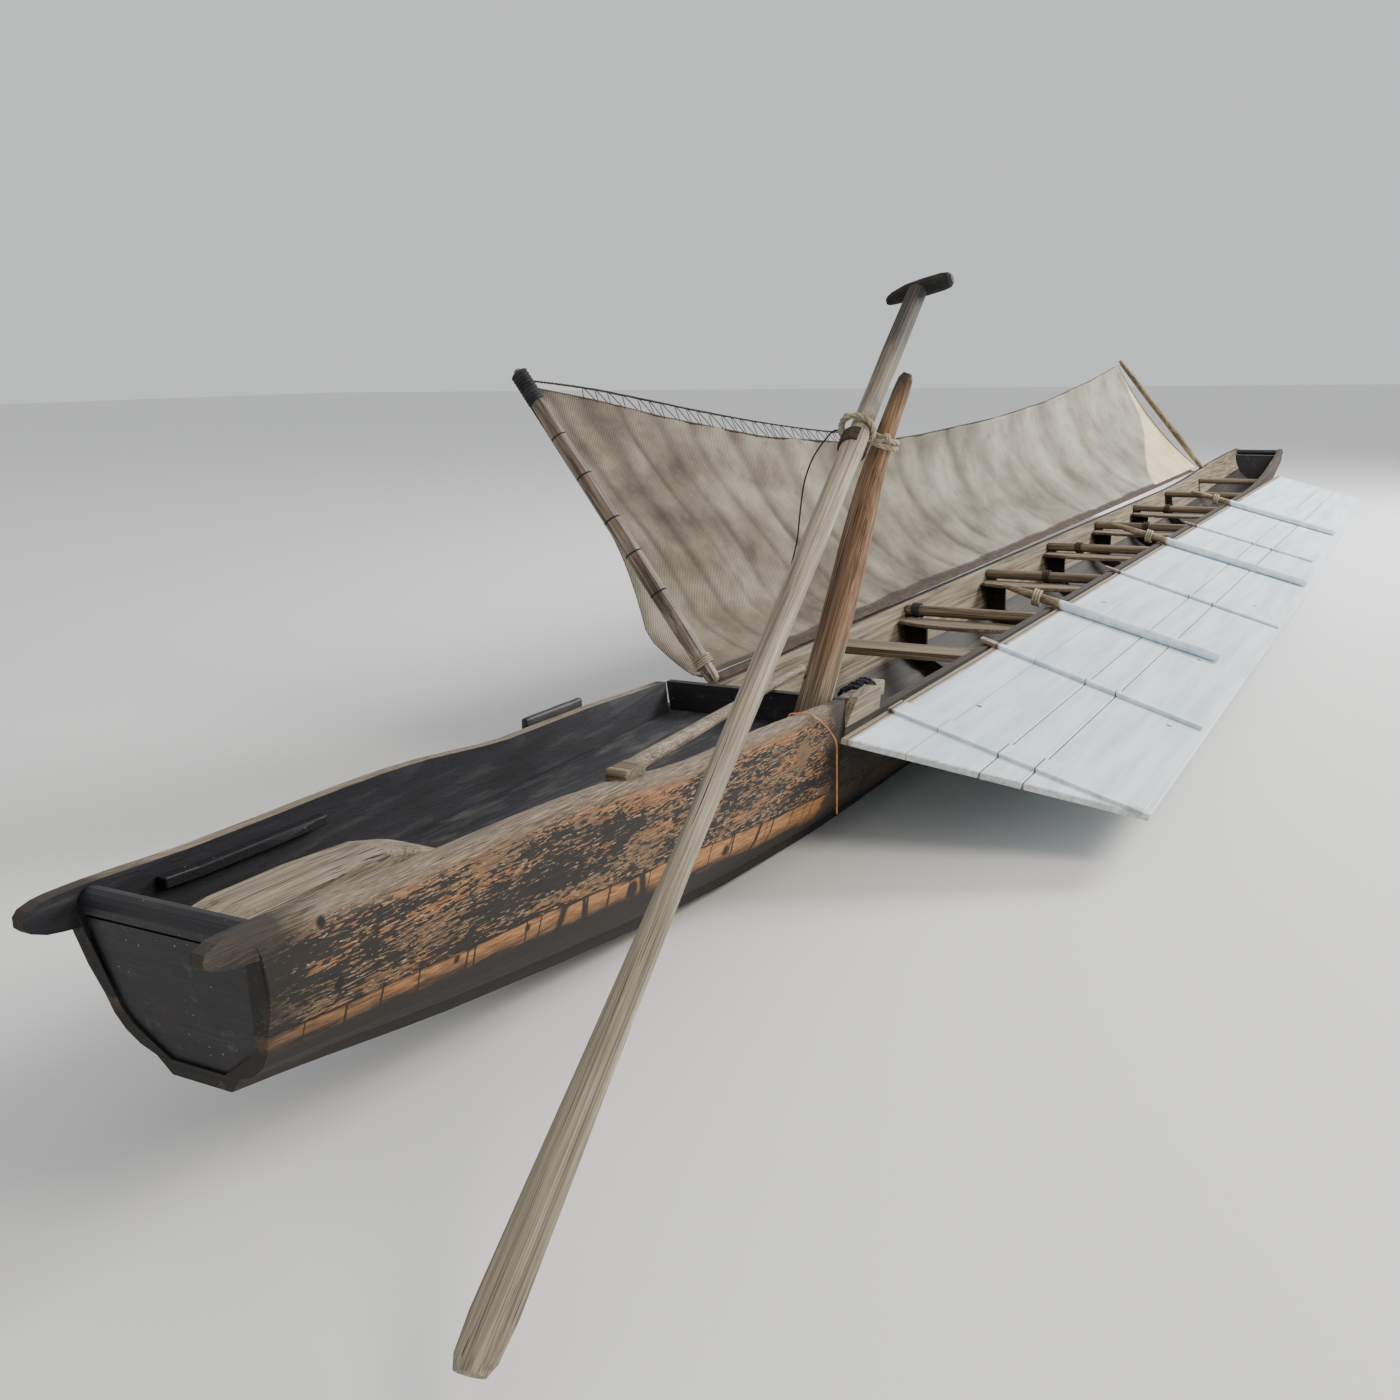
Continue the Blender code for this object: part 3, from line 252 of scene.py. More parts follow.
def flaked_side_wood():
    """Side planks in old charcoal paint that has flaked in short dashes along the grain, over grey-tan wood."""
    material, tree, shader, place = start_material("flaked_side_wood", 0.82)
    grain = patches(tree, place, 0.22, 0.0022, 3.0)
    tone = patches(tree, place, 0.50, 0.040, 4.0, 0.6, shift=3.1)
    wood = ramp(tree, grain, (0.30, "#2c2118"), (0.46, "#5e4833"), (0.60, "#7f6549"), (0.76, "#a38c6c"))
    orange = ramp(tree, grain, (0.30, "#4c2f1a"), (0.50, "#8a5a33"), (0.72, "#b58557"))
    wood = mix(tree, spread(tree, tone, 0.46, 0.62), wood, orange)
    # paint comes off in dashes; more of it is gone towards the top edge and towards the bow
    dashes = patches(tree, place, 0.030, 0.0045, 3.0, 0.55)
    broad = patches(tree, place, 0.30, 0.075, 4.0, 0.65, shift=1.7)
    over_top = over_curve(tree, place, SHEER)
    near_top = spread(tree, over_top, -0.075, -0.015)
    forward = spread(tree, axes(tree, place)[0], -5.9, -4.6)
    gone = sum_up(tree, "MULTIPLY_ADD", dashes, 0.55, sum_up(tree, "MULTIPLY", broad, 0.55))
    gone = sum_up(tree, "MULTIPLY_ADD", near_top, 0.10, gone)
    gone = sum_up(tree, "MULTIPLY_ADD", forward, 0.060, gone)
    bare = spread(tree, gone, 0.610, 0.625)
    soot = ramp(tree, patches(tree, place, 0.16, 0.004), (0.3, "#0f0d0b"), (0.7, "#292420"))
    colour = mix(tree, bare, soot, wood)
    # pale splinters at the paint's edges
    rim = sum_up(tree, "MULTIPLY", spread(tree, gone, 0.590, 0.606), spread(tree, gone, 0.650, 0.632))
    splinters = sum_up(tree, "MULTIPLY", rim, spread(tree, patches(tree, place, 0.018, 0.0028, 2.0), 0.58, 0.64))
    colour = mix(tree, splinters, colour, "#b9a88c")
    # rubbed grey along the top
    rubbed = spread(tree, sum_up(tree, "MULTIPLY_ADD", tone, 0.03, over_top), -0.024, 0.002)
    grey = ramp(tree, grain, (0.30, "#3b3228"), (0.50, "#75685a"), (0.72, "#a2937b"))
    colour = mix(tree, rubbed, colour, grey)
    colour = mix(tree, spot(tree, place, (-4.30, -0.288, 0.32), 0.050), colour, "#6b5138")
    colour = mix(tree, spot(tree, place, (-4.30, -0.288, 0.32), 0.026, 0.2), colour, "#3a4046")
    for hole in ((-5.955, -0.215, 0.470), (-5.915, -0.200, 0.352), (-5.07, -0.262, 0.33), (-5.11, -0.25, 0.29)):
        colour = mix(tree, spot(tree, place, hole, 0.014), colour, "#0c0a09")
    # the stern's damp black end, and the painted shadow under the white board
    colour = stern_black_and_board_shadow(tree, place, colour)
    # the inside: blue-black round the cockpit, and a lighter grey-brown over the bays that is painted light
    tar = ramp(tree, patches(tree, place, 0.25, 0.03, 5.0), (0.35, "#0b0b10"), (0.55, "#1b1a22"), (0.75, "#3d3c3d"))
    lit = ramp(tree, patches(tree, place, 0.50, 0.012), (0.30, "#3c3124"), (0.50, "#776b57"), (0.72, "#9a8f78"))
    inside = mix(tree, spread(tree, axes(tree, place)[0], COCKPIT_FORE - 0.01, COCKPIT_FORE + 0.01), tar, lit)
    colour = mix(tree, inner_face(tree, place), colour, inside)
    paint(tree, shader, colour)
    height = add(tree, "ShaderNodeMix", {0: 0.45, 2: grain, 3: sum_up(tree, "SUBTRACT", 1.0, bare)}).outputs[0]
    relief(tree, shader, height, 0.0014)
    return material


def bare_bilge_wood():
    """The plank below the chine: a bare golden-tan band with dark knots, then tarred black lower down."""
    material, tree, shader, place = start_material("bare_bilge_wood", 0.75)
    grain = patches(tree, place, 0.35, 0.0028, 4.0)
    tan = ramp(tree, grain, (0.28, "#4e3119"), (0.44, "#8a5f38"), (0.58, "#a97a4a"), (0.76, "#c9a070"))
    tar = ramp(tree, grain, (0.3, "#0b0908"), (0.7, "#231c16"))
    ragged = patches(tree, place, 0.20, 0.014, 5.0, 0.65)
    # the band lies close under the chine and widens forward
    under_chine = over_curve(tree, place, CHINE)
    deep = add(tree, "ShaderNodeMapRange", {0: axes(tree, place)[0], 1: -5.9, 2: -4.2, 3: 0.014, 4: 0.062})
    line = sum_up(tree, "ADD", sum_up(tree, "MULTIPLY_ADD", ragged, 0.060, under_chine), deep.outputs[0])
    band = spread(tree, line, 0.012, 0.045)
    colour = mix(tree, band, tar, tan)
    upper = spread(tree, sum_up(tree, "MULTIPLY_ADD", ragged, 0.05, under_chine), 0.017, 0.026)
    colour = mix(tree, upper, colour, "#1c140e")
    knots = ((-5.06, -0.222, 0.218, 0.026), (-4.66, -0.232, 0.178, 0.018), (-4.90, -0.205, 0.165, 0.022),
             (-5.42, -0.212, 0.262, 0.012), (-5.62, -0.200, 0.276, 0.010), (-4.40, -0.240, 0.125, 0.016))
    for x, y, z, size in knots:
        colour = mix(tree, spot(tree, place, (x, y, z), size), colour, "#150e09")
    # short cracks run down from the chine
    cracks = add(tree, "ShaderNodeMapping", {0: place, 3: (9.0, 0.0, 0.5)})
    cells = add(tree, "ShaderNodeTexVoronoi", {"Vector": cracks.outputs[0], "Scale": 1.0}, feature="DISTANCE_TO_EDGE")
    colour = mix(tree, spread(tree, cells.outputs[0], 0.022, 0.010), colour, "#1a110b")
    # the stern's damp black end, and the painted shadow under the white board
    colour = stern_black_and_board_shadow(tree, place, colour)
    inside = ramp(tree, patches(tree, place, 0.50, 0.02), (0.35, "#120f0d"), (0.60, "#2b241d"), (0.8, "#594c3c"))
    colour = mix(tree, inner_face(tree, place), colour, inside)
    paint(tree, shader, colour)
    relief(tree, shader, grain, 0.0012)
    return material


def tarred_wood():
    """Planks blackened with tar: blue-black, with damp brown patches and a few pale chips."""
    material, tree, shader, place = start_material("tarred_wood", 0.55)
    grain = patches(tree, place, 0.20, 0.004, 4.0, lie=(0, 1, 0))
    base = ramp(tree, grain, (0.30, "#08080c"), (0.52, "#121118"), (0.72, "#242229"))
    brown = spread(tree, patches(tree, place, 0.20, 0.09, 4.0, shift=5.2), 0.56, 0.72)
    colour = mix(tree, brown, base, "#2a1d17")
    dust = spread(tree, patches(tree, place, 0.30, 0.06, 6.0, 0.7, shift=2.4), 0.58, 0.78)
    colour = mix(tree, dust, colour, "#4b4a48")
    chips = spread(tree, patches(tree, place, 0.012, 0.009, 2.0, 0.4), 0.745, 0.770)
    colour = mix(tree, chips, colour, "#8b857a")
    paint(tree, shader, colour)
    relief(tree, shader, grain, 0.0008)
    return material


def deck_wood():
    """Deck boards: blue-black and grey, scuffed along the boat, with open seams between them."""
    material, tree, shader, place = start_material("deck_wood", 0.6)
    grain = patches(tree, place, 0.30, 0.004)
    base = ramp(tree, grain, (0.30, "#0c0c11"), (0.52, "#1f1f26"), (0.72, "#3a3a40"))
    scuffs = spread(tree, patches(tree, place, 0.22, 0.05, 5.0, 0.7), 0.50, 0.72)
    colour = mix(tree, scuffs, base, "#54514c")
    across = axes(tree, place)[1]
    seam = sum_up(tree, "PINGPONG", sum_up(tree, "ADD", across, 1.03), 0.052)
    colour = mix(tree, spread(tree, seam, 0.0022, 0.0010), colour, "#030304")
    paint(tree, shader, colour)
    relief(tree, shader, grain, 0.0010)
    return material


def dark_frame_wood():
    """Frames, knees and bottom boards inside the bays: brown-black with bare grey-brown wear."""
    material, tree, shader, place = start_material("dark_frame_wood", 0.8)
    grain = patches(tree, place, 0.22, 0.004, lie=(0, 1, 0))
    dark = ramp(tree, grain, (0.30, "#0c0a09"), (0.70, "#2a231d"))
    worn = spread(tree, patches(tree, place, 0.30, 0.07, shift=1.2), 0.60, 0.74)
    colour = mix(tree, worn, dark, "#5c4f40")
    paint(tree, shader, colour)
    relief(tree, shader, grain, 0.0010)
    return material


def driftwood(name, lie, dark, middle, light, bright, long=0.35, wide=0.0028):
    """Weathered grey wood: silky fibres along the piece, broader tones, and long fine cracks."""
    material, tree, shader, place = start_material(name, 0.78)
    fibres = patches(tree, place, long, wide, 3.0, 0.55, lie)
    tone = patches(tree, place, long * 1.1, wide * 9, 4.0, 0.6, lie, 2.3)
    both = add(tree, "ShaderNodeMix", {0: 0.45, 2: fibres, 3: tone}).outputs[0]
    colour = ramp(tree, both, (0.34, dark), (0.45, middle), (0.55, light), (0.66, bright))
    cracks = spread(tree, patches(tree, place, long * 0.7, wide * 1.6, 2.0, 0.4, lie, 7.7), 0.330, 0.290)
    colour = mix(tree, cracks, colour, "#1a140f")
    paint(tree, shader, colour)
    relief(tree, shader, both, 0.0012)
    return material, tree, shader, place, colour


def grey_driftwood():
    return driftwood("grey_driftwood", (1, 0, 0), "#3a332a", "#6a5f50", "#8b806d", "#a79c87")[0]


def cross_driftwood():
    """The same wood in beams and boards that lie across the boat."""
    return driftwood("cross_driftwood", (0, 1, 0), "#2c241b", "#574a3a", "#7a6c58", "#968974")[0]


def oar_wood():
    """The oar's shaft: silky warm grey, with one long dark crack, going black towards the handle."""
    made = driftwood("oar_wood", OAR_AFT, "#4a4136", "#776c5c", "#948976", "#aba08c", 0.45, 0.0024)
    material, tree, shader, place, colour = made
    off = add(tree, "ShaderNodeVectorMath", {0: place, 1: OAR_HOLD}, operation="SUBTRACT").outputs[0]
    run = add(tree, "ShaderNodeVectorMath", {0: off, 1: OAR_AFT}, operation="DOT_PRODUCT").outputs["Value"]
    dirt = patches(tree, place, 0.30, 0.030, 4.0, 0.6, OAR_AFT, 4.4)
    run_dirt = sum_up(tree, "MULTIPLY_ADD", dirt, 0.5, run)
    handled = spread(tree, run_dirt, 0.22, -0.30)
    grimy = ramp(tree, patches(tree, place, 0.45, 0.003, 3.0, 0.5, OAR_AFT), (0.32, "#100c09"), (0.5, "#2e241b"),
                 (0.68, "#5a4c3c"))
    colour = mix(tree, handled, colour, grimy)
    black = spread(tree, run_dirt, -0.35, -0.62)
    colour = mix(tree, black, colour, "#0e0b09")
    paint(tree, shader, colour)
    return material


def brown_post_wood():
    """The rowing post: reddish brown, rubbed smooth, with long cracks and a few knots."""
    lie = POST_TOP - POST_LOW
    made = driftwood("brown_post_wood", lie, "#2a1a11", "#5d4230", "#7f6248", "#a08766", 0.40, 0.0030)
    material, tree, shader, place, colour = made
    pale = spread(tree, axes(tree, place)[2], 0.62, 0.42)
    pale = sum_up(tree, "MULTIPLY", pale, spread(tree, patches(tree, place, 0.3, 0.02, 4.0, 0.6, lie), 0.40, 0.56))
    grey = ramp(tree, patches(tree, place, 0.40, 0.003, 3.0, 0.5, lie), (0.32, "#4a3b2b"), (0.68, "#a5987f"))
    colour = mix(tree, pale, colour, grey)
    for knot in ((-4.119, -0.262, 0.760), (-4.123, -0.240, 0.690), (-4.134, -0.214, 0.620), (-4.110, -0.187, 0.480)):
        colour = mix(tree, spot(tree, place, knot, 0.010), colour, "#120b07")
    dark_top = spread(tree, axes(tree, place)[2], 1.17, 1.27)
    colour = mix(tree, dark_top, colour, "#20150f")
    paint(tree, shader, colour)
    return material


def white_layer(tree, place):
    """Old bluish-white paint on board: rubbed thin here and there, with grey dirt along the grain."""
    white = ramp(tree, patches(tree, place, 0.60, 0.05, 4.0), (0.32, "#bccad4"), (0.55, "#d5dfe6"),
                 (0.75, "#e6edf2"))
    thin = patches(tree, place, 0.10, 0.012, 6.0, 0.7, shift=3.3)
    return mix(tree, spread(tree, thin, 0.66, 0.76), white, "#8f8b82")


def worn_white_paint():
    """The white board: paint with open seams, nail rust and a bare wooden strip along its inner edge."""
    material, tree, shader, place = start_material("worn_white_paint", 0.42)
    colour = white_layer(tree, place)
    split = axes(tree, place)
    out = sum_up(tree, "MULTIPLY_ADD", split[1], -1 / math.cos(BOARD_SLOPE), BOARD_AXIS.y / math.cos(BOARD_SLOPE))
    wander = sum_up(tree, "MULTIPLY_ADD", patches(tree, place, 1.5, 0.3, 1.0), 0.004, out)
    for seam, wide in ((0.353, 0.0028), (0.459, 0.0030), (0.172, 0.0012)):
        off = sum_up(tree, "ABSOLUTE", sum_up(tree, "SUBTRACT", wander, seam), 0.0)
        colour = mix(tree, spread(tree, off, wide, wide * 0.4), colour, "#4a463f")
    wood = ramp(tree, patches(tree, place, 0.30, 0.003), (0.30, "#55493c"), (0.52, "#8b7c69"), (0.74, "#b5a892"))
    edge = patches(tree, place, 0.25, 0.01, 5.0)
    strip = sum_up(tree, "MULTIPLY_ADD", edge, 0.018, out)
    colour = mix(tree, spread(tree, strip, 0.050, 0.040), colour, wood)
    line = sum_up(tree, "ABSOLUTE", sum_up(tree, "SUBTRACT", out, 0.026), 0.0)
    colour = mix(tree, spread(tree, line, 0.0030, 0.0012), colour, "#2f261e")
    for rust in ((-3.50, -0.475, 0.294), (-2.74, -0.330, 0.333), (-2.06, -0.86, 0.19), (-3.02, -0.93, 0.172),
                 (-0.72, -0.88, 0.186), (-1.62, -0.41, 0.311)):
        colour = mix(tree, spot(tree, place, rust, 0.011), colour, "#3d3128")
    # paint worn to grey wood on the aft edge
    along = sum_up(tree, "MULTIPLY_ADD", out, -0.39, split[0])
    aft = spread(tree, sum_up(tree, "MULTIPLY_ADD", edge, 0.05, along), -4.120, -4.138)
    colour = mix(tree, sum_up(tree, "MULTIPLY", aft, 0.65), colour, "#8d857a")
    paint(tree, shader, colour)
    relief(tree, shader, patches(tree, place, 0.20, 0.006), 0.0004)
    return material


def half_painted_wood():
    """Poles across the board: white over the board, bare grey-brown wood where they reach in over the boat."""
    made = driftwood("half_painted_wood", (0, 1, -0.26), "#3b3024", "#6d5e4a", "#8f8069", "#aa9c84")
    material, tree, shader, place, colour = made
    edge = sum_up(tree, "MULTIPLY_ADD", patches(tree, place, 0.02, 0.01), 0.03, axes(tree, place)[1])
    painted = spread(tree, edge, -0.305, -0.318)
    colour = mix(tree, painted, colour, white_layer(tree, place))
    paint(tree, shader, colour)
    return material


def net_canvas():
    """Coarse twill sacking, greyed with fish oil: painted shade lies in its folds, painted light makes it paler
    towards the far end, and its hem is nearly black.
    """
    material, tree, shader, place = start_material("net_canvas", 0.95)
    flat = add(tree, "ShaderNodeUVMap", uv_map="cloth").outputs[0]
    fold = add(tree, "ShaderNodeAttribute", attribute_name="fold").outputs["Fac"]
    split = axes(tree, flat)
    # the twill's ribs are drawn 9 mm apart, coarser than the real weave, so that they show
    twill = add(tree, "ShaderNodeMapping", {0: flat, 2: (0.0, 0.0, math.radians(33))})
    ribs = add(tree, "ShaderNodeTexWave", {"Vector": twill.outputs[0], "Scale": 35.0, "Distortion": 1.0,
                                           "Detail": 2.0, "Detail Scale": 0.4}).outputs[1]
    cloud = patches(tree, place, 0.40, 0.30, 5.0)
    base = ramp(tree, cloud, (0.34, "#4c4438"), (0.48, "#766c5b"), (0.60, "#938a78"), (0.74, "#aaa492"))
    # painted light: the cloth turns paler towards the far end, and its twill ribs show less there
    far = spread(tree, split[0], -2.6, 2.6)
    pale = ramp(tree, cloud, (0.34, "#8b8571"), (0.52, "#b3ae9b"), (0.70, "#cfccbd"))
    colour = mix(tree, far, base, pale)
    dark = mix(tree, 0.55, colour, "#1d1712")
    colour = mix(tree, sum_up(tree, "MULTIPLY", ribs, spread(tree, far, 1.1, 0.1)), dark, colour)
    stains = spread(tree, patches(tree, place, 0.10, 0.10, 6.0, 0.7, shift=1.9), 0.58, 0.72)
    colour = mix(tree, sum_up(tree, "MULTIPLY", stains, 0.5), colour, "#4d3d2c")
    # painted shade in the folds, deepest at the near end and fainter towards the lit far end
    runs = sum_up(tree, "MULTIPLY", fold, add(tree, "ShaderNodeMapRange", {0: split[0], 1: -2.5, 2: 2.0,
                                                                         3: 0.86, 4: 0.35}).outputs[0])
    colour = mix(tree, runs, colour, "#241a12")
    hem = spread(tree, sum_up(tree, "MULTIPLY_ADD", cloud, 0.04, split[1]), 0.050, 0.042)
    colour = mix(tree, sum_up(tree, "MULTIPLY", hem, 0.8), colour, "#1f1813")
    panel = add(tree, "ShaderNodeAttribute", attribute_name="panel").outputs["Fac"]
    colour = mix(tree, panel, colour, ramp(tree, cloud, (0.3, "#b09d78"), (0.7, "#d6c8a4")))
    corner = sum_up(tree, "ADD", split[1], sum_up(tree, "MULTIPLY", split[0], -0.9))
    colour = mix(tree, spread(tree, sum_up(tree, "MULTIPLY_ADD", stains, 0.03, corner), 4.30, 4.36), colour,
                 "#0d0b0a")
    paint(tree, shader, colour)
    relief(tree, shader, ribs, 0.0012)
    return material


def old_bamboo():
    """Old bamboo: brown and smoky, streaked along its length, lighter near the foot."""
    lie = (0.0, math.sin(NET_LEAN), math.cos(NET_LEAN))
    made = driftwood("old_bamboo", lie, "#221a12", "#4a3c2c", "#6f6050", "#8f8270", 0.20, 0.006)
    material, tree, shader, place, colour = made
    shader.inputs["Roughness"].default_value = 0.5
    bloom = spread(tree, axes(tree, place)[2], 0.62, 0.42)
    patchy = spread(tree, patches(tree, place, 0.09, 0.03, 4.0, 0.6, lie), 0.42, 0.60)
    colour = mix(tree, sum_up(tree, "MULTIPLY", bloom, patchy), colour, "#a49a86")
    paint(tree, shader, colour)
    return material


def rope_finish(name, dark, light):
    """Laid rope or twine: fuzzy, with dirt between its strands."""
    material, tree, shader, place = start_material(name, 0.95)
    fuzz = patches(tree, place, 0.004, 0.002, 4.0)
    dirt = patches(tree, place, 0.05, 0.03, 3.0)
    both = add(tree, "ShaderNodeMix", {0: 0.5, 2: fuzz, 3: dirt}).outputs[0]
    paint(tree, shader, ramp(tree, both, (0.36, dark), (0.62, light)))
    relief(tree, shader, fuzz, 0.0008)
    return material


# each finish with the record's slot that it belongs to
FINISHES = {
    "side": (flaked_side_wood(), "weathered_side_wood"),
    "bilge": (bare_bilge_wood(), "tarred_wood"),
    "tarred": (tarred_wood(), "tarred_wood"),
    "deck": (deck_wood(), "tarred_wood"),
    "frame": (dark_frame_wood(), "tarred_wood"),
    "grey": (grey_driftwood(), "grey_driftwood"),
    "cross": (cross_driftwood(), "grey_driftwood"),
    "oar": (oar_wood(), "grey_driftwood"),
    "pole": (half_painted_wood(), "grey_driftwood"),
    "post": (brown_post_wood(), "brown_post_wood"),
    "white": (worn_white_paint(), "worn_white_paint"),
    "canvas": (net_canvas(), "net_cloth"),
    "bamboo": (old_bamboo(), "old_bamboo"),
    "rope": (rope_finish("pale_rope", "#6f6654", "#b9ae98"), "pale_rope"),
    "dark_rope": (rope_finish("tarred_rope", "#0f0f14", "#34333a"), "tarred_cord"),
    "cord": (rope_finish("tarred_cord", "#0f0c0a", "#33291f"), "tarred_cord"),
    "rag": (rope_finish("rag_cloth", "#1d1510", "#4c3b2c"), "tarred_cord"),
    "twine": (rope_finish("orange_twine", "#7c4a28", "#c08a5c"), "orange_twine"),
}

NODE_FINISH = {
    "side_plank_port": "side", "side_plank_starboard": "side", "cockpit_deck": "deck", "stern_timber": "grey",
    "side_chock": "grey", "loose_pole": "grey", "inner_slat_starboard": "grey", "thwart_plank": "cross",
    "bow_beam": "cross", "oar_shaft_and_blade": "oar", "oar_handle": "oar", "rowing_post": "post",
    "net_pole_near": "bamboo", "net_pole_far": "bamboo", "rope_grommet": "rope", "post_cord": "cord",
    "gunwale_string": "twine", "net_sheet": "canvas",
}
PREFIX_FINISH = {"bilge_": "bilge", "bottom_": "frame", "frame_": "frame", "beam_": "cross",
                 "board_pole": "pole", "board_plank": "white", "batten": "white"}


def finish_of(name):
    for start, finish in PREFIX_FINISH.items():
        if name.startswith(start):
            return finish
    return NODE_FINISH.get(name, "tarred")


def dress_frame():
    """Give each node its finish, and round the edges of the timber."""
    sharp = ("bilge_", "bottom_", "net_sheet", "post_cord", "gunwale_string", "rope_grommet")
    for name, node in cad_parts.items():
        node.data.materials.clear()
        node.data.materials.append(FINISHES[finish_of(name)][0])
        if name.startswith(sharp):
            continue
        weld = node.modifiers.new("weld", "WELD")
        weld.merge_threshold = 0.00005
        bevel = node.modifiers.new("rounded", "BEVEL")
        bevel.width = 0.003
        bevel.segments = 2
        bevel.limit_method = "ANGLE"
        bevel.angle_limit = math.radians(40)
        bevel.harden_normals = False


# pieces

def smoothed(points, steps=10):
    """A smooth route through given points."""
    points = [Vector(p) for p in points]
    padded = [2 * points[0] - points[1]] + points + [2 * points[-1] - points[-2]]
    route = []
    for a, b, c, d in zip(padded, padded[1:], padded[2:], padded[3:]):
        for i in range(steps):
            t = i / steps
            route.append(0.5 * (2 * b + (c - a) * t + (2 * a - 5 * b + 4 * c - d) * t * t
                                + (3 * b - a - 3 * c + d) * t ** 3))
    return route + [points[-1]]


def ring_route(centre, axis, radius, turns=1.0, rise=0.0, start=0.0, squash=1.0):
    """Turns about an axis, rising along it; squash flattens them crosswise."""
    axis = Vector(axis).normalized()
    side = axis.orthogonal().normalized()
    other = axis.cross(side)
    count = int(28 * turns)
    route = []
    for i in range(count + 1):
        angle = 2 * math.pi * (turns * i / count + start)
        route.append(Vector(centre) + side * (radius * math.cos(angle)) + other * (radius * squash * math.sin(angle))
                     + axis * (rise * (i / count - 0.5)))
    return route


def finished(piece, finish, body):
    """Link a piece, give it its finish and make it ride on a body."""
    bpy.context.scene.collection.objects.link(piece)
    piece.data.materials.append(FINISHES[finish][0])
    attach(piece, body)
    return piece


def rope(name, routes, radius, finish, body, strands=3):
    """Rope along one or more routes: strands that wind round each other, or one smooth strand."""
    curve = bpy.data.curves.new(name, "CURVE")
    curve.dimensions = "3D"
    curve.bevel_depth = radius if strands == 1 else radius * 0.56
    curve.bevel_resolution = 2 if strands == 1 else 1
    curve.use_fill_caps = True
    lay = radius * 7.0
    for route in routes:
        for k in range(strands):
            spline = curve.splines.new("POLY")
            spline.points.add(len(route) - 1)
            spline.use_smooth = True
            side = (route[1] - route[0]).orthogonal().normalized()
            run = 0.0
            for i, point in enumerate(route):
                ahead = (route[min(i + 1, len(route) - 1)] - route[max(i - 1, 0)]).normalized()
                side = (side - ahead * side.dot(ahead)).normalized()
                run += (point - route[i - 1]).length if i else 0.0
                angle = 2 * math.pi * (k / strands + run / lay)
                off = (side * math.cos(angle) + ahead.cross(side) * math.sin(angle)) * radius * 0.5
                place = point if strands == 1 else point + off
                spline.points[i].co = (place.x, place.y, place.z, 1.0)
    return finished(bpy.data.objects.new(name, curve), finish, body)


def mesh_piece(name, bm, finish, body, smooth=True):
    mesh = bpy.data.meshes.new(name)
    bmesh.ops.recalc_face_normals(bm, faces=bm.faces)
    bm.to_mesh(mesh)
    bm.free()
    for polygon in mesh.polygons:
        polygon.use_smooth = smooth
    return finished(bpy.data.objects.new(name, mesh), finish, body)


def worn_block(name, low, high, finish, body, form=None, edge=0.004, wear=0.0012):
    """A block of old wood between two corners, cut into short lengths, with rounded edges and uneven faces.

    form moves a point of the block's own space, where each side runs from -0.5 to 0.5.
    """
    low, high = Vector(low), Vector(high)
    size = high - low
    bm = bmesh.new()
    bmesh.ops.create_cube(bm, size=1.0)
    long_way = max(range(3), key=lambda i: size[i])
    lengthwise = [e for e in bm.edges if abs((e.verts[0].co - e.verts[1].co)[long_way]) > 0.5]
    bmesh.ops.subdivide_edges(bm, edges=lengthwise, cuts=max(2, int(size[long_way] / 0.025)), use_grid_fill=True)
    if form:
        for v in bm.verts:
            v.co = Vector(form(v.co))
    bmesh.ops.scale(bm, vec=size, verts=bm.verts)
    corners = [e for e in bm.edges if e.is_manifold and e.calc_face_angle(0.0) > 0.6]
    bmesh.ops.bevel(bm, geom=corners, offset=edge, segments=2, profile=0.5, affect="EDGES", material=-1)
    centre = (low + high) / 2
    for v in bm.verts:
        v.co += noise.noise_vector((v.co + centre) * 30.0) * wear
    bmesh.ops.translate(bm, vec=centre, verts=bm.verts)
    return mesh_piece(name, bm, finish, body)


def make_cords():
    """The thin dark cord that hangs from the post's rope, and the orange string over the gunwale."""
    route = smoothed(POST_CORD)
    cord = rope("hanging_post_cord", [route], POST_CORD_R, "cord", "grommet", strands=1)
    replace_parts(cord, "post_cord")
    route = smoothed(GUNWALE_STRING)
    string = rope("orange_string", [route], STRING_R, "twine", "hull", strands=1)
    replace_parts(string, "gunwale_string")


def post_point(z):
    share = (z - POST_LOW.z) / (POST_TOP.z - POST_LOW.z)
    point = POST_LOW.lerp(POST_TOP, share)
    point.y += at(POST_BEND, z)
    return point


def make_grommet():
    """The pale rope that holds the oar to the post: two turns on the post, an eye, and a loose tucked end."""
    axis = post_point(GROMMET_Z + 0.03) - post_point(GROMMET_Z - 0.03)
    centre = post_point(GROMMET_Z)
    aside = OAR_AFT.cross(Vector((0, 0, 1))).normalized()
    eye = OAR_HOLD + aside * 0.0074
    routes = [
        ring_route(centre, axis, POST_RING_R, 1.0, 0.0),
        ring_route(centre + axis.normalized() * 0.017, axis, POST_RING_R - 0.001, 1.15, 0.006, 0.3),
        ring_route(eye, OAR_AFT, EYE_R, 1.0, 0.0),
        ring_route(eye - OAR_AFT * 0.013, OAR_AFT, EYE_R, 0.62, 0.004, 0.45),
    ]
    across = (centre - eye).normalized()
    knot = eye + across * EYE_R
    routes.append(smoothed([knot + Vector((-0.006, 0.010, 0.020)), knot + Vector((-0.016, -0.004, 0.006)),
                            knot + Vector((-0.012, -0.018, -0.012)), knot + Vector((-0.014, -0.036, -0.010)),
                            knot + Vector((-0.010, -0.052, 0.002)), knot + Vector((-0.006, -0.062, -0.016))], 8))
    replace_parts(rope("post_rope", routes, ROPE_R, "rope", "grommet"), "rope_grommet")


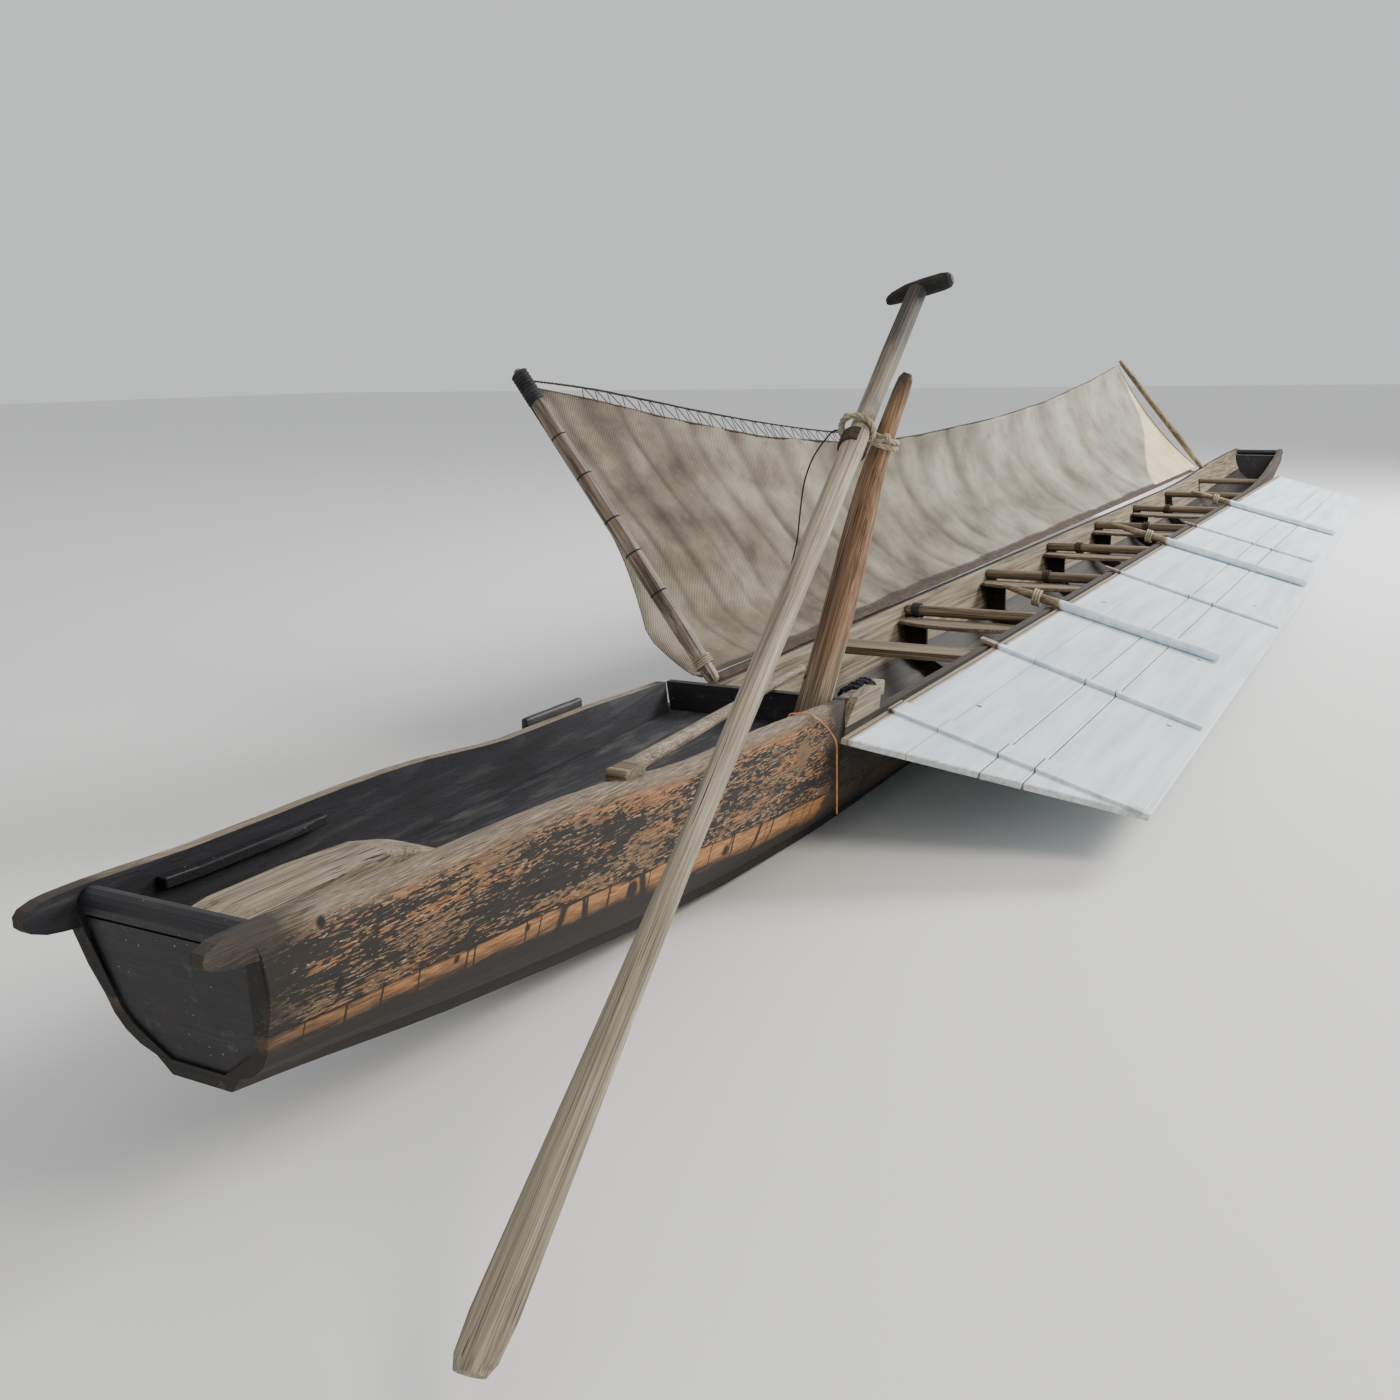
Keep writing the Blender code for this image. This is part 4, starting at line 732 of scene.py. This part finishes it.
def make_oar_wrap():
    """Brown rag bound round the oar where the rope would chafe it."""
    routes = []
    for i in range(5):
        centre = OAR_HOLD + OAR_AFT * (0.052 + 0.011 * i)
        routes.append(ring_route(centre, OAR_AFT + Vector((0.05, 0.12 * (i % 2), 0.0)), 0.0318, 0.80, 0.006, 0.30))
    rope("oar_rag", routes, 0.0065, "rag", "oar", strands=1)


def net_point(x, s, m):
    """A point of the screen: s up the slope from the poles' feet, m outboard of their axes."""
    foot = NET_NEAR + (NET_FAR - NET_NEAR) * (x - NET_NEAR.x) / (NET_FAR.x - NET_NEAR.x)
    y = foot.y + s * math.sin(NET_LEAN) + m * math.cos(NET_LEAN)
    z = foot.z + s * math.cos(NET_LEAN) - m * math.sin(NET_LEAN)
    return Vector((x, y, z))


def fold_at(x, up):
    """How deep in a fold a point of the screen lies, from 0 to 1; the folds sweep forward as they go down."""
    best = 0.0
    for start, wide in NET_FOLDS:
        wander = 0.05 * noise.noise(Vector((start * 3.0, up * 2.5, 0.0)))
        line = start + 0.26 * (1.0 - up) ** 2 + wander
        off = (x - line) / (wide * (0.6 + 0.9 * up))
        fade = 0.55 + 0.45 * noise.noise(Vector((start * 5.0, up * 3.0, 4.0)))
        best = max(best, math.exp(-off * off) * min(1.0, max(0.15, fade)))
    return best


def make_screen():
    """The screen's cloth: hung between the poles, bellied outboard, and creased in long runs."""
    columns, rows = 300, 44
    bm = bmesh.new()
    bmesh.ops.create_grid(bm, x_segments=columns, y_segments=rows, size=0.5)
    uv = bm.loops.layers.uv.new("cloth")
    fold_layer = bm.verts.layers.float.new("fold")
    panel_layer = bm.verts.layers.float.new("panel")
    laid = {}
    bm.verts.index_update()
    for v in bm.verts:
        share = max(0.0, v.co.x + 0.5) ** 1.5
        up = v.co.y + 0.5
        end = NET_FAR.x + (NET_FAR_TOP - NET_FAR.x) * up
        x = NET_NEAR.x + (end - NET_NEAR.x) * share
        hem = 0.012 - 0.030 * math.sin(math.pi * share)
        height = hem + (at(NET_TOP, x) - hem) * up
        swell = (1 - (1 - share) ** 5) * (0.45 + 0.55 * max(0.0, math.sin(math.pi * share)) ** 0.5)
        belly = NET_BELLY * swell * max(0.0, math.sin(math.pi * up)) ** 0.8
        bag = min(1.0, max(0.0, up / 0.16)) ** 0.6 * min(1.0, max(0.0, (0.48 - up) / 0.28)) ** 1.5
        belly += NET_NEAR_BAG * bag * (1 - share) ** 5
        fold = fold_at(x, up)
        edges = min(1.0, 6 * share, 6 * (1 - share))
        crease = (0.010 * fold + 0.005 * noise.noise(Vector((x * 4.0, up * 5.0, 0.0)))) * edges
        v.co = net_point(x, height, POLE_R + 0.003 + belly + crease)
        v[fold_layer] = fold
        boundary = at(PANEL_EDGE, height)
        v[panel_layer] = min(1.0, max(0.0, (x - boundary) / 0.03 + 0.5))
        laid[v.index] = (x, height)
    for face in bm.faces:
        for loop in face.loops:
            loop[uv].uv = laid[loop.vert.index]
    cloth = mesh_piece("screen_cloth", bm, "canvas", "net")
    solid = cloth.modifiers.new("thickness", "SOLIDIFY")
    solid.thickness = 0.0025
    solid.offset = 0.0
    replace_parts(cloth, "net_sheet")


def make_net_ropes():
    """The headrope, its zigzag twine, the dark binding at the near pole's tip, and the foot lashing."""
    head = smoothed([net_point(x, s, 0.030) for x, s in HEADROPE], 12)
    rope("headrope", [head], 0.0042, "cord", "net")
    routes = []
    x = -3.42
    side = 0
    while x < -1.12:
        s = at(HEADROPE, x) if side else at(NET_TOP, x) - 0.006
        sway = 0.012 * noise.noise(Vector((x * 9.0, 0.0, 1.0)))
        routes.append(net_point(x + sway, s, 0.030))
        side = 1 - side
        x += 0.030 + 0.016 * (0.5 + 0.5 * math.sin(x * 23.0))
    rope("headrope_twine", [smoothed(routes, 4)], 0.0016, "cord", "net", strands=1)
    top_edge = [net_point(x, at(NET_TOP, x), 0.031) for x in [-3.70 + 0.10 * i for i in range(81)]]
    rope("cloth_bolt_rope", [smoothed(top_edge, 2)], 0.0035, "rag", "net", strands=1)
    lean = Vector((0.0, math.sin(NET_LEAN), math.cos(NET_LEAN)))
    tip = [ring_route(net_point(NET_NEAR.x, 1.075, 0), lean, 0.0225, 9.0, 0.110, 0.1)]
    rope("pole_tip_binding", tip, 0.0065, "dark_rope", "net", strands=1)
    foot = [ring_route(net_point(NET_NEAR.x, 0.050, 0), lean, 0.0292, 4.0, 0.030, 0.1)]
    rope("pole_foot_lashing", foot, 0.0040, "rope", "net")


def make_bamboo_nodes():
    """Raised rings where the bamboo's joints are."""
    lean = Vector((0.0, math.sin(NET_LEAN), math.cos(NET_LEAN)))
    for i, s in enumerate((0.30, 0.445, 0.57, 0.735, 0.885)):
        radius = at([(0.0, 0.0262), (0.65, 0.0258), (1.115, 0.0182)], s)
        route = ring_route(net_point(NET_NEAR.x, s, 0.0), lean, radius, 1.0)
        rope("bamboo_joint_%d" % (i + 1), [route], 0.0028, "cord", "net", strands=1)


def make_hem():
    """A dark strip of sacking tied down along the port gunwale, under the screen."""
    bm = bmesh.new()
    columns = 160
    bmesh.ops.create_grid(bm, x_segments=columns, y_segments=3, size=0.5)
    start, end = -3.70, 4.40
    for v in bm.verts:
        x = start + (end - start) * (v.co.x + 0.5)
        up = v.co.y + 0.5
        foot = NET_NEAR + (NET_FAR - NET_NEAR) * (x - NET_NEAR.x) / (NET_FAR.x - NET_NEAR.x)
        ripple = 0.0035 * noise.noise(Vector((x * 6.0, up * 3.0, 0.0)))
        v.co = (x, foot.y - 0.006 + 0.030 * up + ripple, foot.z - 0.0255 + 0.013 * up ** 2 + abs(ripple) * 0.5)
    strip = mesh_piece("gunwale_hem", bm, "rag", "hull")
    solid = strip.modifiers.new("thickness", "SOLIDIFY")
    solid.thickness = 0.002
    solid.offset = 1.0


def rounded_log(p):
    """A square section drawn in to a round one, a little thinner at its aft end."""
    reach = max(abs(p.y), abs(p.z), 1e-6)
    share = reach / max(math.hypot(p.y, p.z), 1e-6) * (0.94 + 0.10 * (p.x + 0.5))
    return (p.x, p.y * share, p.z * share)


def make_cockpit_pieces():
    worn_block("gunwale_block", (-5.115, -0.244, 0.4640), (-5.032, -0.194, 0.4900), "cross", "hull")
    worn_block("gunwale_wedge", (-5.230, -0.214, 0.4560), (-5.120, -0.190, 0.4640), "grey", "hull",
               form=lambda p: (p.x, p.y, p.z * (0.65 + 0.7 * (p.x + 0.5))), edge=0.0015, wear=0.0006)
    worn_block("port_rub_board", (-4.72, 0.2755, 0.400), (-4.47, 0.2945, 0.455), "tarred", "hull", edge=0.006)
    # a short log with a coil of tarred rope lies on the starboard gunwale, inboard of the chock
    worn_block("short_log", (-3.944, -0.2600, 0.3410), (-3.690, -0.2000, 0.4010), "grey", "hull",
               form=rounded_log, edge=0.004, wear=0.0018)
    routes = []
    for i in range(4):
        centre = Vector((-3.880 + 0.034 * i, -0.230, 0.3720))
        routes.append(ring_route(centre, (1, 0.25 * (-1) ** i, 0.1), 0.0385, 1.0, 0.01, 0.2 * i))
    rope("log_rope", routes, 0.0068, "dark_rope", "hull")


def make_bay_pieces():
    """Cross boards that lie on the frames, with a knee under each end of a beam."""
    for i in range(FRAME_COUNT - 1):
        x = FRAME_FIRST + i * FRAME_STEP
        worn_block("bay_board_%d" % (i + 1), (x - 0.175, -0.255, 0.2700), (x - 0.024, 0.255, 0.2860), "cross",
                   "hull", form=lambda p: (0.5 - (0.5 - p.x) * (1.0 - 1.6 * p.y * p.y), p.y, p.z), edge=0.003)
        for side, label in ((1, "port"), (-1, "starboard")):
            worn_block("knee_%s_%d" % (label, i + 1), (x - 0.046, min(side * 0.165, side * 0.262), 0.110),
                       (x - 0.024, max(side * 0.165, side * 0.262), 0.2690), "frame", "hull",
                       form=lambda p, side=side: (p.x, p.y - side * 0.28 * (0.5 - p.z) * (p.y * side + 0.5), p.z),
                       edge=0.003)


def make_lashings():
    """Rope turns that bind the board's poles and a few beams."""
    slope = Vector((0.0, -math.cos(BOARD_SLOPE), -math.sin(BOARD_SLOPE)))
    for i, x in enumerate((-2.000, 0.160, 2.320)):
        centre = Vector((x, -0.235, 0.3403 + 0.065 * math.tan(BOARD_SLOPE) + 0.018))
        route = ring_route(centre, slope, 0.0295, 3.0, 0.034, 0.2)
        rope("pole_lashing_%d" % (i + 1), [route], 0.0050, "rope", "board")
    for i, (x, y) in enumerate(((-2.10, 0.215), (-1.02, -0.02), (0.06, 0.10), (1.14, -0.03), (2.22, 0.05))):
        route = ring_route((x, y, 0.312), (0.15, 1, 0), 0.0262, 3.0, 0.040, 0.15 * i)
        rope("beam_lashing_%d" % (i + 1), [route], 0.0045, "dark_rope" if i == 0 else "rag", "hull")


def aim_camera():
    """Camera at the photograph's place and angle."""
    flat_way = math.cos(CAMERA_PITCH)
    ahead = Vector((math.cos(CAMERA_YAW) * flat_way, math.sin(CAMERA_YAW) * flat_way, -math.sin(CAMERA_PITCH)))
    level = Vector((math.sin(CAMERA_YAW), -math.cos(CAMERA_YAW), 0.0))
    down = ahead.cross(level)
    right = level * math.cos(CAMERA_ROLL) + down * math.sin(CAMERA_ROLL)
    up = level * math.sin(CAMERA_ROLL) - down * math.cos(CAMERA_ROLL)
    lens = bpy.data.cameras.new("photo_camera")
    lens.sensor_width = 36.0
    lens.lens = 36.0 * LENS_IN_FRAME / FRAME_SIZE
    lens.shift_y = -FRAME_LIFT / FRAME_SIZE
    lens.clip_start = 0.05
    camera = bpy.data.objects.new("photo_camera", lens)
    bpy.context.scene.collection.objects.link(camera)
    turn = Matrix((right, up, -ahead)).transposed().to_4x4()
    camera.matrix_world = Matrix.Translation(CAMERA_PLACE) @ turn
    bpy.context.scene.camera = camera


def area_light(name, place, target, size, power, colour):
    light = bpy.data.lights.new(name, "AREA")
    light.shape = "DISK"
    light.size = size
    light.energy = power
    light.color = linear(colour)[:3]
    lamp = bpy.data.objects.new(name, light)
    lamp.location = place
    lamp.rotation_mode = "QUATERNION"
    lamp.rotation_quaternion = (Vector(target) - Vector(place)).to_track_quat("-Z", "Y")
    bpy.context.scene.collection.objects.link(lamp)


def set_stage():
    """Pale floor and soft light: strongest from above the bow on the starboard side, as in the photograph."""
    bm = bmesh.new()
    bmesh.ops.create_grid(bm, x_segments=1, y_segments=1, size=60.0)
    mesh = bpy.data.meshes.new("floor")
    bm.to_mesh(mesh)
    bm.free()
    floor = bpy.data.objects.new("floor", mesh)
    floor.location.z = -0.002
    bpy.context.scene.collection.objects.link(floor)
    material, tree, shader, place = start_material("pale_floor", 0.95)
    shader.inputs["Base Color"].default_value = linear("#e4e4e2")
    mesh.materials.append(material)
    world = bpy.data.worlds.new("soft_room")
    world.use_nodes = True
    world.node_tree.nodes["Background"].inputs[0].default_value = linear("#f4f6f8")
    world.node_tree.nodes["Background"].inputs[1].default_value = 0.80
    bpy.context.scene.world = world
    area_light("bow_window", (5.0, -5.0, 5.5), (0.0, 0.0, 0.5), 4.0, 1500.0, "#ffffff")
    area_light("starboard_fill", (-4.5, -5.5, 4.5), (-4.5, 0.0, 0.4), 3.0, 260.0, "#fff4e6")


dress_frame()
aim_camera()
make_cords()
make_grommet()
make_oar_wrap()
make_screen()
make_net_ropes()
make_bamboo_nodes()
make_hem()
make_cockpit_pieces()
make_bay_pieces()
make_lashings()
set_stage()
